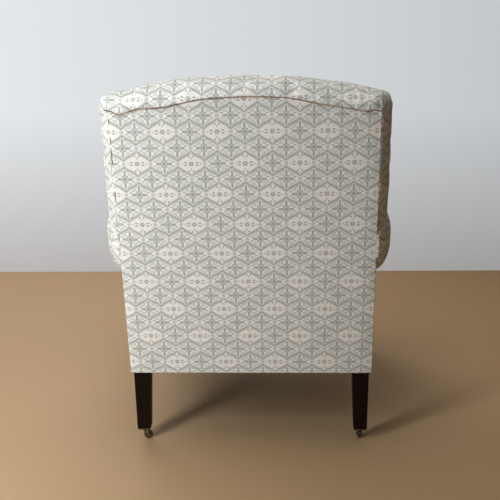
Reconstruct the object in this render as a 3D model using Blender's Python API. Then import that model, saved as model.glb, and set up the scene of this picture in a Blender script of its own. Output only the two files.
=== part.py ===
"""Library chair: a low upholstered armchair on tapered legs with brass castors.

Metres, +Z up. The chair faces -Y, so its outside back faces +Y. Names ending in
_left lie at -X and names ending in _right at +X. The origin is on the floor,
under the middle of the chair's box.
"""

import math

import bmesh
import bpy
from mathutils import Matrix, Vector

# Clearance between neighbouring pieces
FIT = 0.0003

# Overall sizes
OVERALL_DEPTH = 0.860
BODY_WIDTH = 0.593
BACK_HEIGHT = 0.912
ARM_HEIGHT = 0.615
HEM_HEIGHT = 0.185
BACK_RAKE = math.radians(12.0)

# Covers
PANEL_THICKNESS = 0.005
SIDE_COVER_THICKNESS = 0.0062
FACING_THICKNESS = 0.012

# Frame timber
RAIL_THICKNESS = 0.028
RAIL_HEIGHT = 0.073
RAIL_ABOVE_HEM = 0.007
LEG_TOP = 0.041
LEG_FOOT = 0.033
LEG_FOOT_SET_IN = 0.0025
LEG_EDGE_ROUND = 0.0012
POST_DEPTH = 0.034
POST_BLEND = 0.040
TOP_RAIL_HEIGHT = 0.055
LUMBAR_RAIL_HEIGHT = 0.050
LUMBAR_RAIL_BASE = 0.345
ARM_POST_DEPTH = 0.040
ARM_RAIL_HEIGHT = 0.035
ARM_TOP_STUFFING = 0.052
BLOCK_REACH = 0.050
BLOCK_MARGIN = 0.008
TACK_MARGIN = 0.008

# Back upholstery
BACK_OVERHANG = 0.0255
TOP_ARCH = 0.0386
TOP_CORNER_DROP = 0.015
TOP_CORNER_SQUARENESS = 60
SEAM_BELOW_TOP = 0.039
SEAM_ARCH = 0.040
RAIL_BELOW_SEAM = 0.018
ROLL_BELOW_RAIL_END = 0.015
ROLL_OVERHANG = 0.004
PAD_DEPTH_SEAT = 0.165
PAD_DEPTH_LUMBAR = 0.180
PAD_DEPTH_TOP = 0.142
LUMBAR_HEIGHT = 0.520
PAD_SQUARENESS = 4.5

# Arm upholstery
ARM_LINING = 0.0165
ARM_OVERHANG_REAR = 0.0325
ARM_OVERHANG_FRONT = 0.0555
ARM_ROLL_HEIGHT = 0.170
ARM_END_ROUND = 0.016

# Seat
WEBBING_THICKNESS = 0.002
STRAP_WIDTH = 0.050
STRAP_PITCH = 0.100
STRAPS_ACROSS = 5
STRAPS_ALONG = 5
BACK_STRAPS_ACROSS = 4
SPRING_HEIGHT = 0.113
SPRING_ROWS = 3
STRAPS_PER_SPRING = 2
SPRING_RADIUS = 0.034
SPRING_WAIST = 0.024
SPRING_WIRE = 0.0036
SPRING_TURNS = 4
DECK_THICKNESS = 0.027
BORDER_LIP = 0.060
BORDER_ROUND = 0.016
CUSHION_THICKNESS = 0.108
CUSHION_CROWN = 0.016
CUSHION_DRAW_IN = 0.006
CUSHION_EDGE_ROUND = 0.014
CUSHION_CLEARANCE = 0.002
BOTTOMING_THICKNESS = 0.0015

# Castors
CASTOR_HEIGHT = 0.032
CASTOR_PLATE = 0.030
CASTOR_PLATE_THICKNESS = 0.003
PINTLE_RADIUS = 0.003
PINTLE_LENGTH = 0.0052
BEARING_CLEARANCE = 0.0004
CROWN_RADIUS = 0.0085
CROWN_THICKNESS = 0.0042
WHEEL_RADIUS = 0.011
WHEEL_WIDTH = 0.008
WHEEL_EDGE = 0.0016
AXLE_RADIUS = 0.0016
AXLE_HEAD_RADIUS = 0.0028
AXLE_HEAD = 0.0011
CHEEK_THICKNESS = 0.002
CHEEK_BOSS_RADIUS = 0.0046
CASTOR_TRAIL = 0.008
REAR_RIGHT_CASTOR_TURN = math.radians(183.0)
REAR_LEFT_CASTOR_TURN = math.radians(-84.0)
FRONT_RIGHT_CASTOR_TURN = math.radians(118.0)
FRONT_LEFT_CASTOR_TURN = math.radians(72.0)

# Places worked out from the sizes above
RAKE = math.tan(BACK_RAKE)
FRONT_Y = -OVERALL_DEPTH / 2
BODY_HALF = BODY_WIDTH / 2
BACK_HALF = BODY_HALF + BACK_OVERHANG
SEAM_HEIGHT = BACK_HEIGHT - SEAM_BELOW_TOP
HEM_Y = OVERALL_DEPTH / 2 - ROLL_OVERHANG - RAKE * (SEAM_HEIGHT - HEM_HEIGHT)
FRAME_OUT = BODY_HALF - SIDE_COVER_THICKNESS - FIT
FRAME_IN = FRAME_OUT - RAIL_THICKNESS
LEG_IN = FRAME_OUT - LEG_TOP
ARM_INNER = FRAME_IN - FIT - ARM_LINING
FRAME_FRONT = FRONT_Y + FACING_THICKNESS + FIT
POST_REAR_S = -(PANEL_THICKNESS + FIT)
POST_FRONT_S = POST_REAR_S - POST_DEPTH
PAD_REAR_S = POST_FRONT_S - 2 * FIT - WEBBING_THICKNESS
RAIL_BASE = HEM_HEIGHT + RAIL_ABOVE_HEM
RAIL_TOP = RAIL_BASE + RAIL_HEIGHT
WEBBING_BASE = RAIL_BASE - FIT - WEBBING_THICKNESS
DECK_BASE = RAIL_BASE - FIT + SPRING_HEIGHT + 2 * FIT
DECK_TOP = DECK_BASE + DECK_THICKNESS
CUSHION_BASE = DECK_TOP + FIT
ARM_ROLL_MIDDLE = ARM_HEIGHT - ARM_ROLL_HEIGHT / 2
ARM_UNDER = ARM_HEIGHT - ARM_ROLL_HEIGHT
ARM_RAIL_TOP = ARM_HEIGHT - ARM_TOP_STUFFING
ARM_RAIL_BASE = ARM_RAIL_TOP - ARM_RAIL_HEIGHT
RAIL_END_TOP = SEAM_HEIGHT - SEAM_ARCH - RAIL_BELOW_SEAM
ROLL_BASE = RAIL_END_TOP - ROLL_BELOW_RAIL_END
SIDES = {"left": -1, "right": 1}


def panel_y(z):
    """Y of the outside back's face: plumb below the hem, raked above it."""
    return HEM_Y + max(z - HEM_HEIGHT, 0.0) * RAKE


def on_back(x, s, z):
    """The point s behind the face of the outside back."""
    return Vector((x, panel_y(z) + s, z))


def smooth_step(t):
    t = min(max(t, 0.0), 1.0)
    return t * t * (3 - 2 * t)


def seam_z(x):
    """Height of the seam that closes the outside back's top."""
    return SEAM_HEIGHT - SEAM_ARCH * (x / BODY_HALF) ** 2


def rail_top_z(x):
    return seam_z(x) - RAIL_BELOW_SEAM


def pad_depth(z):
    """Depth of the back at its middle, from the outside back's face forwards."""
    if z < LUMBAR_HEIGHT:
        share = smooth_step((z - DECK_TOP) / (LUMBAR_HEIGHT - DECK_TOP))
        return PAD_DEPTH_SEAT + (PAD_DEPTH_LUMBAR - PAD_DEPTH_SEAT) * share
    share = smooth_step((z - LUMBAR_HEIGHT) / (ROLL_BASE - LUMBAR_HEIGHT))
    return PAD_DEPTH_LUMBAR + (PAD_DEPTH_TOP - PAD_DEPTH_LUMBAR) * share


def pad_front_s(x, z, half):
    """Front of the back pad: crowned, and rounded off towards its sides."""
    share = max(1 - (abs(x) / half) ** PAD_SQUARENESS, 0.0) ** (1 / PAD_SQUARENESS)
    return PAD_REAR_S - (pad_depth(z) + PAD_REAR_S) * share


def pad_side_s(x):
    """Rear of the stuffed border, which turns from the outside back to the side."""
    past = max(abs(x) - BODY_HALF, 0.0) / BACK_OVERHANG
    return PAD_REAR_S * past * past


# Materials


def make_material(name, colour, roughness, metallic=0.0):
    material = bpy.data.materials.new(name)
    material.use_nodes = True
    shader = material.node_tree.nodes["Principled BSDF"]
    shader.inputs["Base Color"].default_value = (*colour, 1.0)
    shader.inputs["Roughness"].default_value = roughness
    shader.inputs["Metallic"].default_value = metallic
    return material


def make_materials():
    return {
        "fabric": make_material("printed_linen", (0.56, 0.55, 0.49), 0.9),
        "leg": make_material("dark_polished_wood", (0.018, 0.010, 0.008), 0.35),
        "beech": make_material("beech", (0.52, 0.34, 0.19), 0.6),
        "brass": make_material("aged_brass", (0.42, 0.29, 0.12), 0.38, 1.0),
        "wheel": make_material("dark_wheel", (0.035, 0.022, 0.016), 0.45),
        "steel": make_material("spring_steel", (0.32, 0.28, 0.24), 0.4, 1.0),
        "webbing": make_material("jute_webbing", (0.34, 0.25, 0.15), 0.95),
        "hessian": make_material("hessian_and_hair", (0.42, 0.33, 0.21), 0.95),
        "bottoming": make_material("black_bottoming", (0.012, 0.012, 0.013), 0.95),
    }


# Building blocks


def finish(bm, name, material):
    """Turn a bmesh into an object whose faces point outwards."""
    bmesh.ops.recalc_face_normals(bm, faces=bm.faces)
    mesh = bpy.data.meshes.new(name)
    bm.to_mesh(mesh)
    bm.free()
    mesh.materials.append(material)
    return place(name, mesh)


def place(name, mesh, parent=None):
    obj = bpy.data.objects.new(name, mesh)
    bpy.context.scene.collection.objects.link(obj)
    obj.parent = parent
    return obj


def shade_round(obj, angle=40):
    """Smooth shading that keeps the edges sharper than angle degrees."""
    obj.data.shade_smooth()
    obj.data.set_sharp_from_angle(angle=math.radians(angle))
    return obj


def loft(name, rings, material):
    """A closed solid through rings of points, capped at both ends."""
    bm = bmesh.new()
    loops = [[bm.verts.new(point) for point in ring] for ring in rings]
    for lower, upper in zip(loops, loops[1:]):
        for i, vertex in enumerate(lower):
            bm.faces.new((lower[i - 1], vertex, upper[i], upper[i - 1]))
    bm.faces.new(loops[0])
    bm.faces.new(loops[-1])
    return finish(bm, name, material)


def block(name, x, y, z, material):
    """A timber or panel between two values of x, y and z; y may follow z."""
    ends = [end if callable(end) else (lambda _, end=end: end) for end in y]
    rings = [
        [Vector((x_end, end(height), height)) for end in ends[::order] for height in z[::1]]
        for x_end, order in ((x[0], 1), (x[1], 1))
    ]
    rings = [[ring[0], ring[1], ring[3], ring[2]] for ring in rings]
    return loft(name, rings, material)


def prism(name, outline, direction, material):
    """A flat outline extruded along a vector."""
    return loft(name, [outline, [point + direction for point in outline]], material)


def arched_plate(name, half, base, top, front_s, rear_s, material, steps=12):
    """A plate that leans with the back and has an arched top edge."""
    xs = [half - 2 * half * i / steps for i in range(steps + 1)]
    edge = [(-half, base), (half, base)] + [(x, top(x)) for x in xs]
    rings = [[on_back(x, s, z) for x, z in edge] for s in (front_s, rear_s)]
    return loft(name, rings, material)


def round_edges(obj, width):
    bevel = obj.modifiers.new("rounded edges", "BEVEL")
    bevel.width = width
    bevel.segments = 2
    bevel.limit_method = "ANGLE"
    return obj


def cutter(obj):
    """Mark an object as a tool that only shapes others."""
    obj.hide_render = True
    obj.display_type = "WIRE"
    return obj


def combine(obj, other, operation):
    boolean = obj.modifiers.new(operation.lower(), "BOOLEAN")
    boolean.operation = operation
    boolean.object = other
    return obj


# Frame


def rear_leg(side, sign, material):
    """A tapered rear leg that carries on upwards as the raked back post."""
    foot_out = FRAME_OUT - LEG_FOOT_SET_IN
    foot_in = foot_out - LEG_FOOT
    foot_rear = POST_REAR_S - LEG_FOOT_SET_IN
    leg_front = POST_REAR_S - LEG_TOP
    stations = (
        (CASTOR_HEIGHT, foot_in, foot_out, foot_rear - LEG_FOOT, foot_rear),
        (HEM_HEIGHT, LEG_IN, FRAME_OUT, leg_front, POST_REAR_S),
        (RAIL_TOP, LEG_IN, FRAME_OUT, leg_front, POST_REAR_S),
        (RAIL_TOP + POST_BLEND, FRAME_IN, FRAME_OUT, POST_FRONT_S, POST_REAR_S),
        (RAIL_END_TOP, FRAME_IN, FRAME_OUT, POST_FRONT_S, POST_REAR_S),
    )
    rings = [
        [
            on_back(sign * inner, front, z),
            on_back(sign * outer, front, z),
            on_back(sign * outer, rear, z),
            on_back(sign * inner, rear, z),
        ]
        for z, inner, outer, front, rear in stations
    ]
    return round_edges(loft(f"rear_leg_{side}", rings, material), LEG_EDGE_ROUND)


def front_leg(side, sign, material):
    foot_out = FRAME_OUT - LEG_FOOT_SET_IN
    foot_front = FRAME_FRONT + LEG_FOOT_SET_IN
    stations = (
        (CASTOR_HEIGHT, foot_out - LEG_FOOT, foot_out, foot_front, foot_front + LEG_FOOT),
        (HEM_HEIGHT, LEG_IN, FRAME_OUT, FRAME_FRONT, FRAME_FRONT + LEG_TOP),
        (RAIL_TOP, LEG_IN, FRAME_OUT, FRAME_FRONT, FRAME_FRONT + LEG_TOP),
    )
    rings = [
        [
            Vector((sign * inner, front, z)),
            Vector((sign * outer, front, z)),
            Vector((sign * outer, rear, z)),
            Vector((sign * inner, rear, z)),
        ]
        for z, inner, outer, front, rear in stations
    ]
    return round_edges(loft(f"front_leg_{side}", rings, material), LEG_EDGE_ROUND)


def seat_rails(material):
    height = (RAIL_BASE, RAIL_TOP)
    between_legs = (-LEG_IN + FIT, LEG_IN - FIT)
    front = (FRAME_FRONT, FRAME_FRONT + RAIL_THICKNESS)
    block("seat_rail_front", between_legs, front, height, material)
    rear = (
        lambda z: panel_y(z) + POST_REAR_S - RAIL_THICKNESS,
        lambda z: panel_y(z) + POST_REAR_S,
    )
    block("seat_rail_rear", between_legs, rear, height, material)
    along = (FRAME_FRONT + LEG_TOP + FIT, lambda z: panel_y(z) + POST_REAR_S - LEG_TOP - FIT)
    for side, sign in SIDES.items():
        block(f"seat_rail_{side}", (sign * FRAME_IN, sign * FRAME_OUT), along, height, material)


def corner_blocks(material):
    """Braces that hug each leg and screw to the two rails beside it."""
    height = RAIL_HEIGHT - 2 * BLOCK_MARGIN
    corners = {
        "front": (FRAME_FRONT + RAIL_THICKNESS + FIT, FRAME_FRONT + LEG_TOP + FIT, 1),
        "rear": (
            HEM_Y + POST_REAR_S - RAIL_THICKNESS - FIT,
            HEM_Y + POST_REAR_S - LEG_TOP - FIT,
            -1,
        ),
    }
    for end, (rail_y, leg_y, inwards) in corners.items():
        for side, sign in SIDES.items():
            outline = [
                Vector((sign * x, y, RAIL_BASE + BLOCK_MARGIN))
                for x, y in (
                    (LEG_IN - FIT, rail_y),
                    (LEG_IN - BLOCK_REACH, rail_y),
                    (FRAME_IN - FIT, leg_y + inwards * BLOCK_REACH),
                    (FRAME_IN - FIT, leg_y),
                    (LEG_IN - FIT, leg_y),
                )
            ]
            prism(f"corner_block_{end}_{side}", outline, Vector((0, 0, height)), material)


def arm_frames(material):
    """An upright on each front leg, and a rail from it back to the post."""
    for side, sign in SIDES.items():
        x = (sign * FRAME_IN, sign * FRAME_OUT)
        y = (FRAME_FRONT, FRAME_FRONT + ARM_POST_DEPTH)
        block(f"arm_post_{side}", x, y, (RAIL_TOP + FIT, ARM_RAIL_BASE - FIT), material)
        along = (FRAME_FRONT, lambda z: panel_y(z) + POST_FRONT_S - FIT)
        block(f"arm_rail_{side}", x, along, (ARM_RAIL_BASE, ARM_RAIL_TOP), material)


def back_rails(material):
    half = FRAME_IN - FIT
    arched_plate(
        "back_top_rail", half, RAIL_END_TOP - TOP_RAIL_HEIGHT, rail_top_z,
        POST_FRONT_S, POST_REAR_S, material,
    )
    depth = (
        lambda z: panel_y(z) + POST_FRONT_S,
        lambda z: panel_y(z) + POST_REAR_S,
    )
    height = (LUMBAR_RAIL_BASE, LUMBAR_RAIL_BASE + LUMBAR_RAIL_HEIGHT)
    block("back_lower_rail", (-half, half), depth, height, material)


# Seat support


def strap_lattice(name, across, along, to_point, thickness, material):
    """Straps woven both ways, made as one flat lattice with open squares.

    across and along list the edges of the straps in turn, from one free end to
    the other, and to_point turns a pair of them and a height into a point.
    """
    bm = bmesh.new()
    grid = [[bm.verts.new(to_point(u, v)) for v in along] for u in across]
    for i in range(len(across) - 1):
        for j in range(len(along) - 1):
            if i % 2 or j % 2:
                bm.faces.new((grid[i][j], grid[i + 1][j], grid[i + 1][j + 1], grid[i][j + 1]))
    loose = [vertex for vertex in bm.verts if not vertex.link_faces]
    bmesh.ops.delete(bm, geom=loose, context="VERTS")
    extruded = bmesh.ops.extrude_face_region(bm, geom=bm.faces[:], use_keep_orig=True)
    moved = [item for item in extruded["geom"] if isinstance(item, bmesh.types.BMVert)]
    bmesh.ops.translate(bm, verts=moved, vec=thickness)
    return finish(bm, name, material)


def strap_edges(middle, count, first, last):
    """Where straps of one direction begin and end, between two outer ends."""
    edges = [first]
    for i in range(count):
        centre = middle + (i - (count - 1) / 2) * STRAP_PITCH
        edges += [centre - STRAP_WIDTH / 2, centre + STRAP_WIDTH / 2]
    return edges + [last]


def seat_middle_y():
    return (FRAME_FRONT + HEM_Y + POST_REAR_S) / 2


def seat_webbing(material):
    across = strap_edges(0, STRAPS_ALONG, -FRAME_OUT + TACK_MARGIN, FRAME_OUT - TACK_MARGIN)
    front = FRAME_FRONT + TACK_MARGIN
    rear = HEM_Y + POST_REAR_S - TACK_MARGIN
    along = strap_edges(seat_middle_y(), STRAPS_ACROSS, front, rear)
    return strap_lattice(
        "seat_webbing", across, along, lambda x, y: Vector((x, y, WEBBING_BASE)),
        Vector((0, 0, WEBBING_THICKNESS)), material,
    )


def back_webbing(material):
    across = strap_edges(0, STRAPS_ALONG, -FRAME_OUT + TACK_MARGIN, FRAME_OUT - TACK_MARGIN)
    base = LUMBAR_RAIL_BASE + TACK_MARGIN
    top = ROLL_BASE - TACK_MARGIN
    clear_of_arm_rail = ARM_RAIL_TOP + TACK_MARGIN + STRAP_WIDTH / 2
    middle = clear_of_arm_rail - STRAP_PITCH / 2
    along = strap_edges(middle, BACK_STRAPS_ACROSS, base, top)
    return strap_lattice(
        "back_webbing", across, along,
        lambda x, z: on_back(x, POST_FRONT_S - FIT, z),
        Vector((0, -WEBBING_THICKNESS, 0)), material,
    )


def spring_points():
    """An hourglass coil with its first and last turns laid flat."""
    rise = SPRING_HEIGHT - SPRING_WIRE
    steps = SPRING_TURNS * 8
    points = []
    for i in range(steps + 1):
        share = i / steps
        lift = smooth_step((share * SPRING_TURNS - 0.35) / (SPRING_TURNS - 0.7))
        radius = SPRING_WAIST + (SPRING_RADIUS - SPRING_WAIST) * abs(2 * lift - 1)
        angle = 2 * math.pi * SPRING_TURNS * share
        points.append(
            (radius * math.cos(angle), radius * math.sin(angle), SPRING_WIRE / 2 + rise * lift)
        )
    return points


def seat_springs(material):
    """Coil springs in a square, one on every second crossing of the straps."""
    pitch = STRAP_PITCH * STRAPS_PER_SPRING
    middle = (SPRING_ROWS - 1) / 2
    base = WEBBING_BASE + WEBBING_THICKNESS + FIT
    for row in range(SPRING_ROWS):
        for column in range(SPRING_ROWS):
            curve = bpy.data.curves.new("spring", "CURVE")
            curve.dimensions = "3D"
            curve.bevel_depth = SPRING_WIRE / 2
            curve.bevel_resolution = 0
            curve.use_fill_caps = True
            spline = curve.splines.new("POLY")
            points = spring_points()
            spline.points.add(len(points) - 1)
            for target, point in zip(spline.points, points):
                target.co = (*point, 1.0)
            curve.materials.append(material)
            spring = place(f"seat_spring_{row * SPRING_ROWS + column + 1}", curve)
            x = (column - middle) * pitch
            spring.location = (x, seat_middle_y() + (row - middle) * pitch, base)


def seat_deck(material):
    """The stuffed platform over the springs that carries the loose cushion."""
    half = ARM_INNER - FIT
    y = (FRONT_Y + BORDER_LIP + FIT, panel_y(DECK_BASE) + PAD_REAR_S)
    return block("seat_deck", (-half, half), y, (DECK_BASE, DECK_TOP), material)


def bottoming(material):
    """Black cloth under the seat, cut round the legs."""
    outer = FRAME_OUT
    leg = LEG_IN - FIT
    front, front_leg_y = FRAME_FRONT, FRAME_FRONT + LEG_TOP + FIT
    rear = HEM_Y + POST_REAR_S
    rear_leg_y = rear - LEG_TOP - FIT
    right = [
        (leg, front), (leg, front_leg_y), (outer, front_leg_y),
        (outer, rear_leg_y), (leg, rear_leg_y), (leg, rear),
    ]
    z = WEBBING_BASE - FIT - BOTTOMING_THICKNESS
    outline = [Vector((x, y, z)) for x, y in right]
    outline += [Vector((-x, y, z)) for x, y in reversed(right)]
    return prism("bottoming_cloth", outline, Vector((0, 0, BOTTOMING_THICKNESS)), material)


# Upholstery


def outside_back(material):
    return arched_plate(
        "outside_back", BODY_HALF, HEM_HEIGHT, seam_z, -PANEL_THICKNESS, 0.0, material
    )


def pad_ring(half, z, points=13):
    """A level slice through the back pad, flat behind and crowned in front."""
    ring = [on_back(half, PAD_REAR_S, z)]
    for i in range(1, points):
        x = half * math.cos(math.pi * i / points)
        ring.append(on_back(x, pad_front_s(x, z, half), z))
    return ring + [on_back(-half, PAD_REAR_S, z)]


def inside_back(material):
    """The back pad: between the arms below, round their rolls and over them above."""
    arm = [p for p in arm_roll_points(ARM_OVERHANG_REAR, 0) if p[1] > ARM_ROLL_MIDDLE + FIT]
    inner_curve = sorted((z, x) for x, z in arm if x < FRAME_OUT)
    lower = ARM_INNER - 2 * FIT
    rise = ARM_ROLL_MIDDLE - CUSHION_BASE
    rings = [pad_ring(lower, CUSHION_BASE + rise * i / 3) for i in range(4)]
    rings += [pad_ring(x - 2 * FIT, z) for z, x in inner_curve]
    above = ARM_HEIGHT + ARM_END_ROUND
    rings += [pad_ring(BACK_HALF, above + (ROLL_BASE - FIT - above) * i / 4) for i in range(5)]
    return shade_round(loft("inside_back", rings, material))


def back_borders(material):
    """Stuffed strips beside the posts, from the arms up to the top roll."""
    for side, sign in SIDES.items():
        panel_edge = BODY_HALF + FIT
        xs = [panel_edge, *(BODY_HALF + BACK_OVERHANG * share for share in (0.42, 0.77, 1.0))]
        outline = [
            (FRAME_OUT + FIT, PAD_REAR_S + FIT),
            (FRAME_OUT + FIT, POST_REAR_S),
            (panel_edge, POST_REAR_S),
        ]
        outline += [(x, max(pad_side_s(x), PAD_REAR_S + FIT)) for x in xs]
        rings = [
            [on_back(sign * x, s, z) for x, s in outline]
            for z in (ARM_HEIGHT + FIT, ROLL_BASE - FIT)
        ]
        shade_round(loft(f"back_border_{side}", rings, material))


def back_top_roll(frame_space, material):
    """The stuffed roll over the top rail, whose cover turns down to the seam."""
    rings = []
    for i in range(17):
        x = BACK_HALF * math.sin(math.radians(-80 + 10 * i))
        share = abs(x) / BACK_HALF
        rear = pad_side_s(x)
        front = pad_front_s(x, ROLL_BASE, BACK_HALF)
        seam = seam_z(x) + FIT
        top = BACK_HEIGHT - TOP_ARCH * share**2 - TOP_CORNER_DROP * share**TOP_CORNER_SQUARENESS
        hidden = rear + POST_REAR_S
        middle = (rear + ROLL_OVERHANG + front) / 2
        reach = (rear + ROLL_OVERHANG - front) / 2
        ring = [on_back(x, hidden, ROLL_BASE), on_back(x, hidden, seam), on_back(x, rear, seam)]
        for degrees in range(20, 181, 20):
            angle = math.radians(degrees)
            low = seam if degrees < 90 else ROLL_BASE + FACING_THICKNESS
            s = middle + reach * math.cos(angle)
            ring.append(on_back(x, s, low + (top - low) * math.sin(angle)))
        ring.append(on_back(x, front, ROLL_BASE))
        rings.append(ring)
    roll = loft("back_top_roll", rings, material)
    combine(roll, frame_space, "DIFFERENCE")
    return shade_round(roll)


def arm_roll_points(overhang, drop, last=180, count=14):
    """The oval roll of an arm, from underneath, outwards and over to the inside."""
    outer = BODY_HALF + overhang
    centre = (outer + ARM_INNER) / 2
    reach = (outer - ARM_INNER) / 2
    rise = ARM_ROLL_HEIGHT / 2
    above_body_side = math.degrees(math.acos((BODY_HALF - centre) / reach))
    first = -min(above_body_side, 80)
    points = []
    for i in range(count + 1):
        angle = math.radians(first + (last - first) * i / count)
        height = math.sin(angle) * (rise - max(math.sin(angle), 0) * drop)
        points.append((centre + reach * math.cos(angle), ARM_ROLL_MIDDLE + height))
    return points


def arm_pads(frame_space, material):
    """Each arm's stuffing: the inside arm and the roll, slotted over its rail."""
    start = FRAME_FRONT
    end_round = (0.55, 0.16)
    for side, sign in SIDES.items():
        rings = []
        stations = [(i / 4, 0.0) for i in range(4)]
        stations += [(0.965, 0.0), (0.985, end_round[1]), (1.0, end_round[0])]
        for share, tuck in stations:
            overhang = ARM_OVERHANG_FRONT + (ARM_OVERHANG_REAR - ARM_OVERHANG_FRONT) * share
            outline = [
                (ARM_INNER, RAIL_TOP + POST_BLEND + FIT),
                (FRAME_IN - FIT, RAIL_TOP + POST_BLEND + FIT),
                (FRAME_IN - FIT, ARM_RAIL_TOP + FIT),
                (FRAME_OUT + FIT, ARM_RAIL_TOP + FIT),
                (FRAME_OUT + FIT, ARM_UNDER),
            ]
            tucked = ARM_END_ROUND * tuck
            outline += arm_roll_points(overhang - tucked, tucked / 2)
            rings.append(
                [
                    Vector((sign * x, start + (panel_y(z) + 2 * POST_REAR_S - start) * share, z))
                    for x, z in outline
                ]
            )
        pad = loft(f"arm_pad_{side}", rings, material)
        combine(pad, frame_space, "DIFFERENCE")
        shade_round(pad)


def arm_facings(material):
    """The stuffed scroll-shaped panel that closes the front of each arm."""
    for side, sign in SIDES.items():
        outline = [(BODY_HALF, HEM_HEIGHT), (BODY_HALF, ARM_UNDER)]
        outline += arm_roll_points(ARM_OVERHANG_FRONT, 0)
        outline.append((ARM_INNER, HEM_HEIGHT))
        facing = prism(
            f"arm_facing_{side}",
            [Vector((sign * x, FRONT_Y, z)) for x, z in outline],
            Vector((0, FACING_THICKNESS, 0)),
            material,
        )
        shade_round(facing)


def outside_arms(material):
    for side, sign in SIDES.items():
        x = (sign * (FRAME_OUT + FIT), sign * BODY_HALF)
        y = (FRONT_Y + FACING_THICKNESS + FIT, lambda z: panel_y(z) + POST_REAR_S)
        block(f"outside_arm_{side}", x, y, (HEM_HEIGHT, ARM_UNDER - FIT), material)


def front_border(material):
    """The seat's front cover, thin over the rail and stuffed out above it."""
    cover = FACING_THICKNESS
    inner = FRONT_Y + BORDER_LIP
    outline = [(FRONT_Y, HEM_HEIGHT)]
    for degrees in (180, 150, 120, 90):
        angle = math.radians(degrees)
        outline.append(
            (
                FRONT_Y + BORDER_ROUND * (1 + math.cos(angle)),
                DECK_TOP - BORDER_ROUND * (1 - math.sin(angle)),
            )
        )
    outline += [
        (inner, DECK_TOP), (inner, RAIL_TOP + FIT),
        (FRONT_Y + cover, RAIL_TOP + FIT), (FRONT_Y + cover, HEM_HEIGHT),
    ]
    half = ARM_INNER - FIT
    points = [Vector((-half, y, z)) for y, z in outline]
    return prism("front_border", points, Vector((2 * half, 0, 0)), material)


def nearest_pad_y():
    """How far forward the back pad comes anywhere above the deck."""
    heights = [CUSHION_BASE + (ROLL_BASE - CUSHION_BASE) * i / 12 for i in range(13)]
    return min(panel_y(z) - pad_depth(z) for z in heights)


def seat_cushion(material):
    """The loose cushion: flat below, crowned above, its sides drawn in."""
    half_x = ARM_INNER - CUSHION_CLEARANCE
    back = nearest_pad_y() - CUSHION_CLEARANCE
    front = FRONT_Y + CUSHION_CLEARANCE
    half_y = (back - front) / 2
    centre_y = (back + front) / 2
    layers = (
        (0.0, CUSHION_EDGE_ROUND),
        (0.12, CUSHION_EDGE_ROUND * 0.25),
        (0.5, 0.0),
        (0.88, CUSHION_EDGE_ROUND * 0.25),
        (1.0, CUSHION_EDGE_ROUND),
    )
    count = 12
    ticks = [-math.cos(math.pi * i / count) for i in range(count + 1)]
    edge = [(t, -1) for t in ticks[:-1]] + [(1, t) for t in ticks[:-1]]
    edge += [(-t, 1) for t in ticks[:-1]] + [(-1, -t) for t in ticks[:-1]]
    top_z = CUSHION_BASE + CUSHION_THICKNESS - CUSHION_CROWN
    bm = bmesh.new()

    def point(u, v, inset, z):
        draw_x = CUSHION_DRAW_IN * (1 - v * v) if abs(u) == 1 else 0
        draw_y = CUSHION_DRAW_IN * (1 - u * u) if abs(v) == 1 else 0
        x = u * (half_x - inset) - math.copysign(draw_x, u)
        y = v * (half_y - inset) - math.copysign(draw_y, v)
        return bm.verts.new((x, centre_y + y, z))

    rings = []
    for share, inset in layers:
        z = CUSHION_BASE + (top_z - CUSHION_BASE) * share
        rings.append([point(u, v, inset, z) for u, v in edge])
    for lower, upper in zip(rings, rings[1:]):
        for i, vertex in enumerate(lower):
            bm.faces.new((lower[i - 1], vertex, upper[i], upper[i - 1]))
    bm.faces.new(rings[0])
    places = dict(zip(edge, rings[-1]))
    for u in ticks[1:-1]:
        for v in ticks[1:-1]:
            crown = CUSHION_CROWN * ((1 - u * u) * (1 - v * v)) ** 0.4
            places[(u, v)] = point(u, v, CUSHION_EDGE_ROUND, top_z + crown)
    for key in list(places):
        u, v = key
        places[(round(u, 9), round(v, 9))] = places.pop(key)
    grid = [[places[(round(u, 9), round(v, 9))] for v in ticks] for u in ticks]
    for i in range(count):
        for j in range(count):
            bm.faces.new((grid[i][j], grid[i + 1][j], grid[i + 1][j + 1], grid[i][j + 1]))
    return shade_round(finish(bm, "seat_cushion", material))


# Castors


def disc(name, radius, low, high, material, sides=16):
    """An upright cylinder about the Z axis."""
    bm = bmesh.new()
    bmesh.ops.create_cone(
        bm, cap_ends=True, segments=sides, radius1=radius, radius2=radius,
        depth=high - low, matrix=Matrix.Translation((0, 0, (low + high) / 2)),
    )
    return finish(bm, name, material)


def evaluated_mesh(obj, name):
    """The mesh of an object with its modifiers applied, as new data."""
    graph = bpy.context.evaluated_depsgraph_get()
    mesh = bpy.data.meshes.new_from_object(obj.evaluated_get(graph))
    mesh.name = name
    for modifier in list(obj.modifiers):
        if modifier.type == "BOOLEAN":
            bpy.data.objects.remove(modifier.object)
    bpy.data.objects.remove(obj)
    return mesh


def castor_plate_mesh(material):
    """A square plate with the pintle that the fork turns on, seen from the floor up."""
    half = CASTOR_PLATE / 2
    top = CASTOR_HEIGHT - FIT
    base = top - CASTOR_PLATE_THICKNESS
    plate = block("plate", (-half, half), (-half, half), (base, top), material)
    pintle = disc("pintle", PINTLE_RADIUS, base - PINTLE_LENGTH, base + FIT, material)
    return evaluated_mesh(combine(plate, pintle, "UNION"), "castor_plate")


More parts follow.
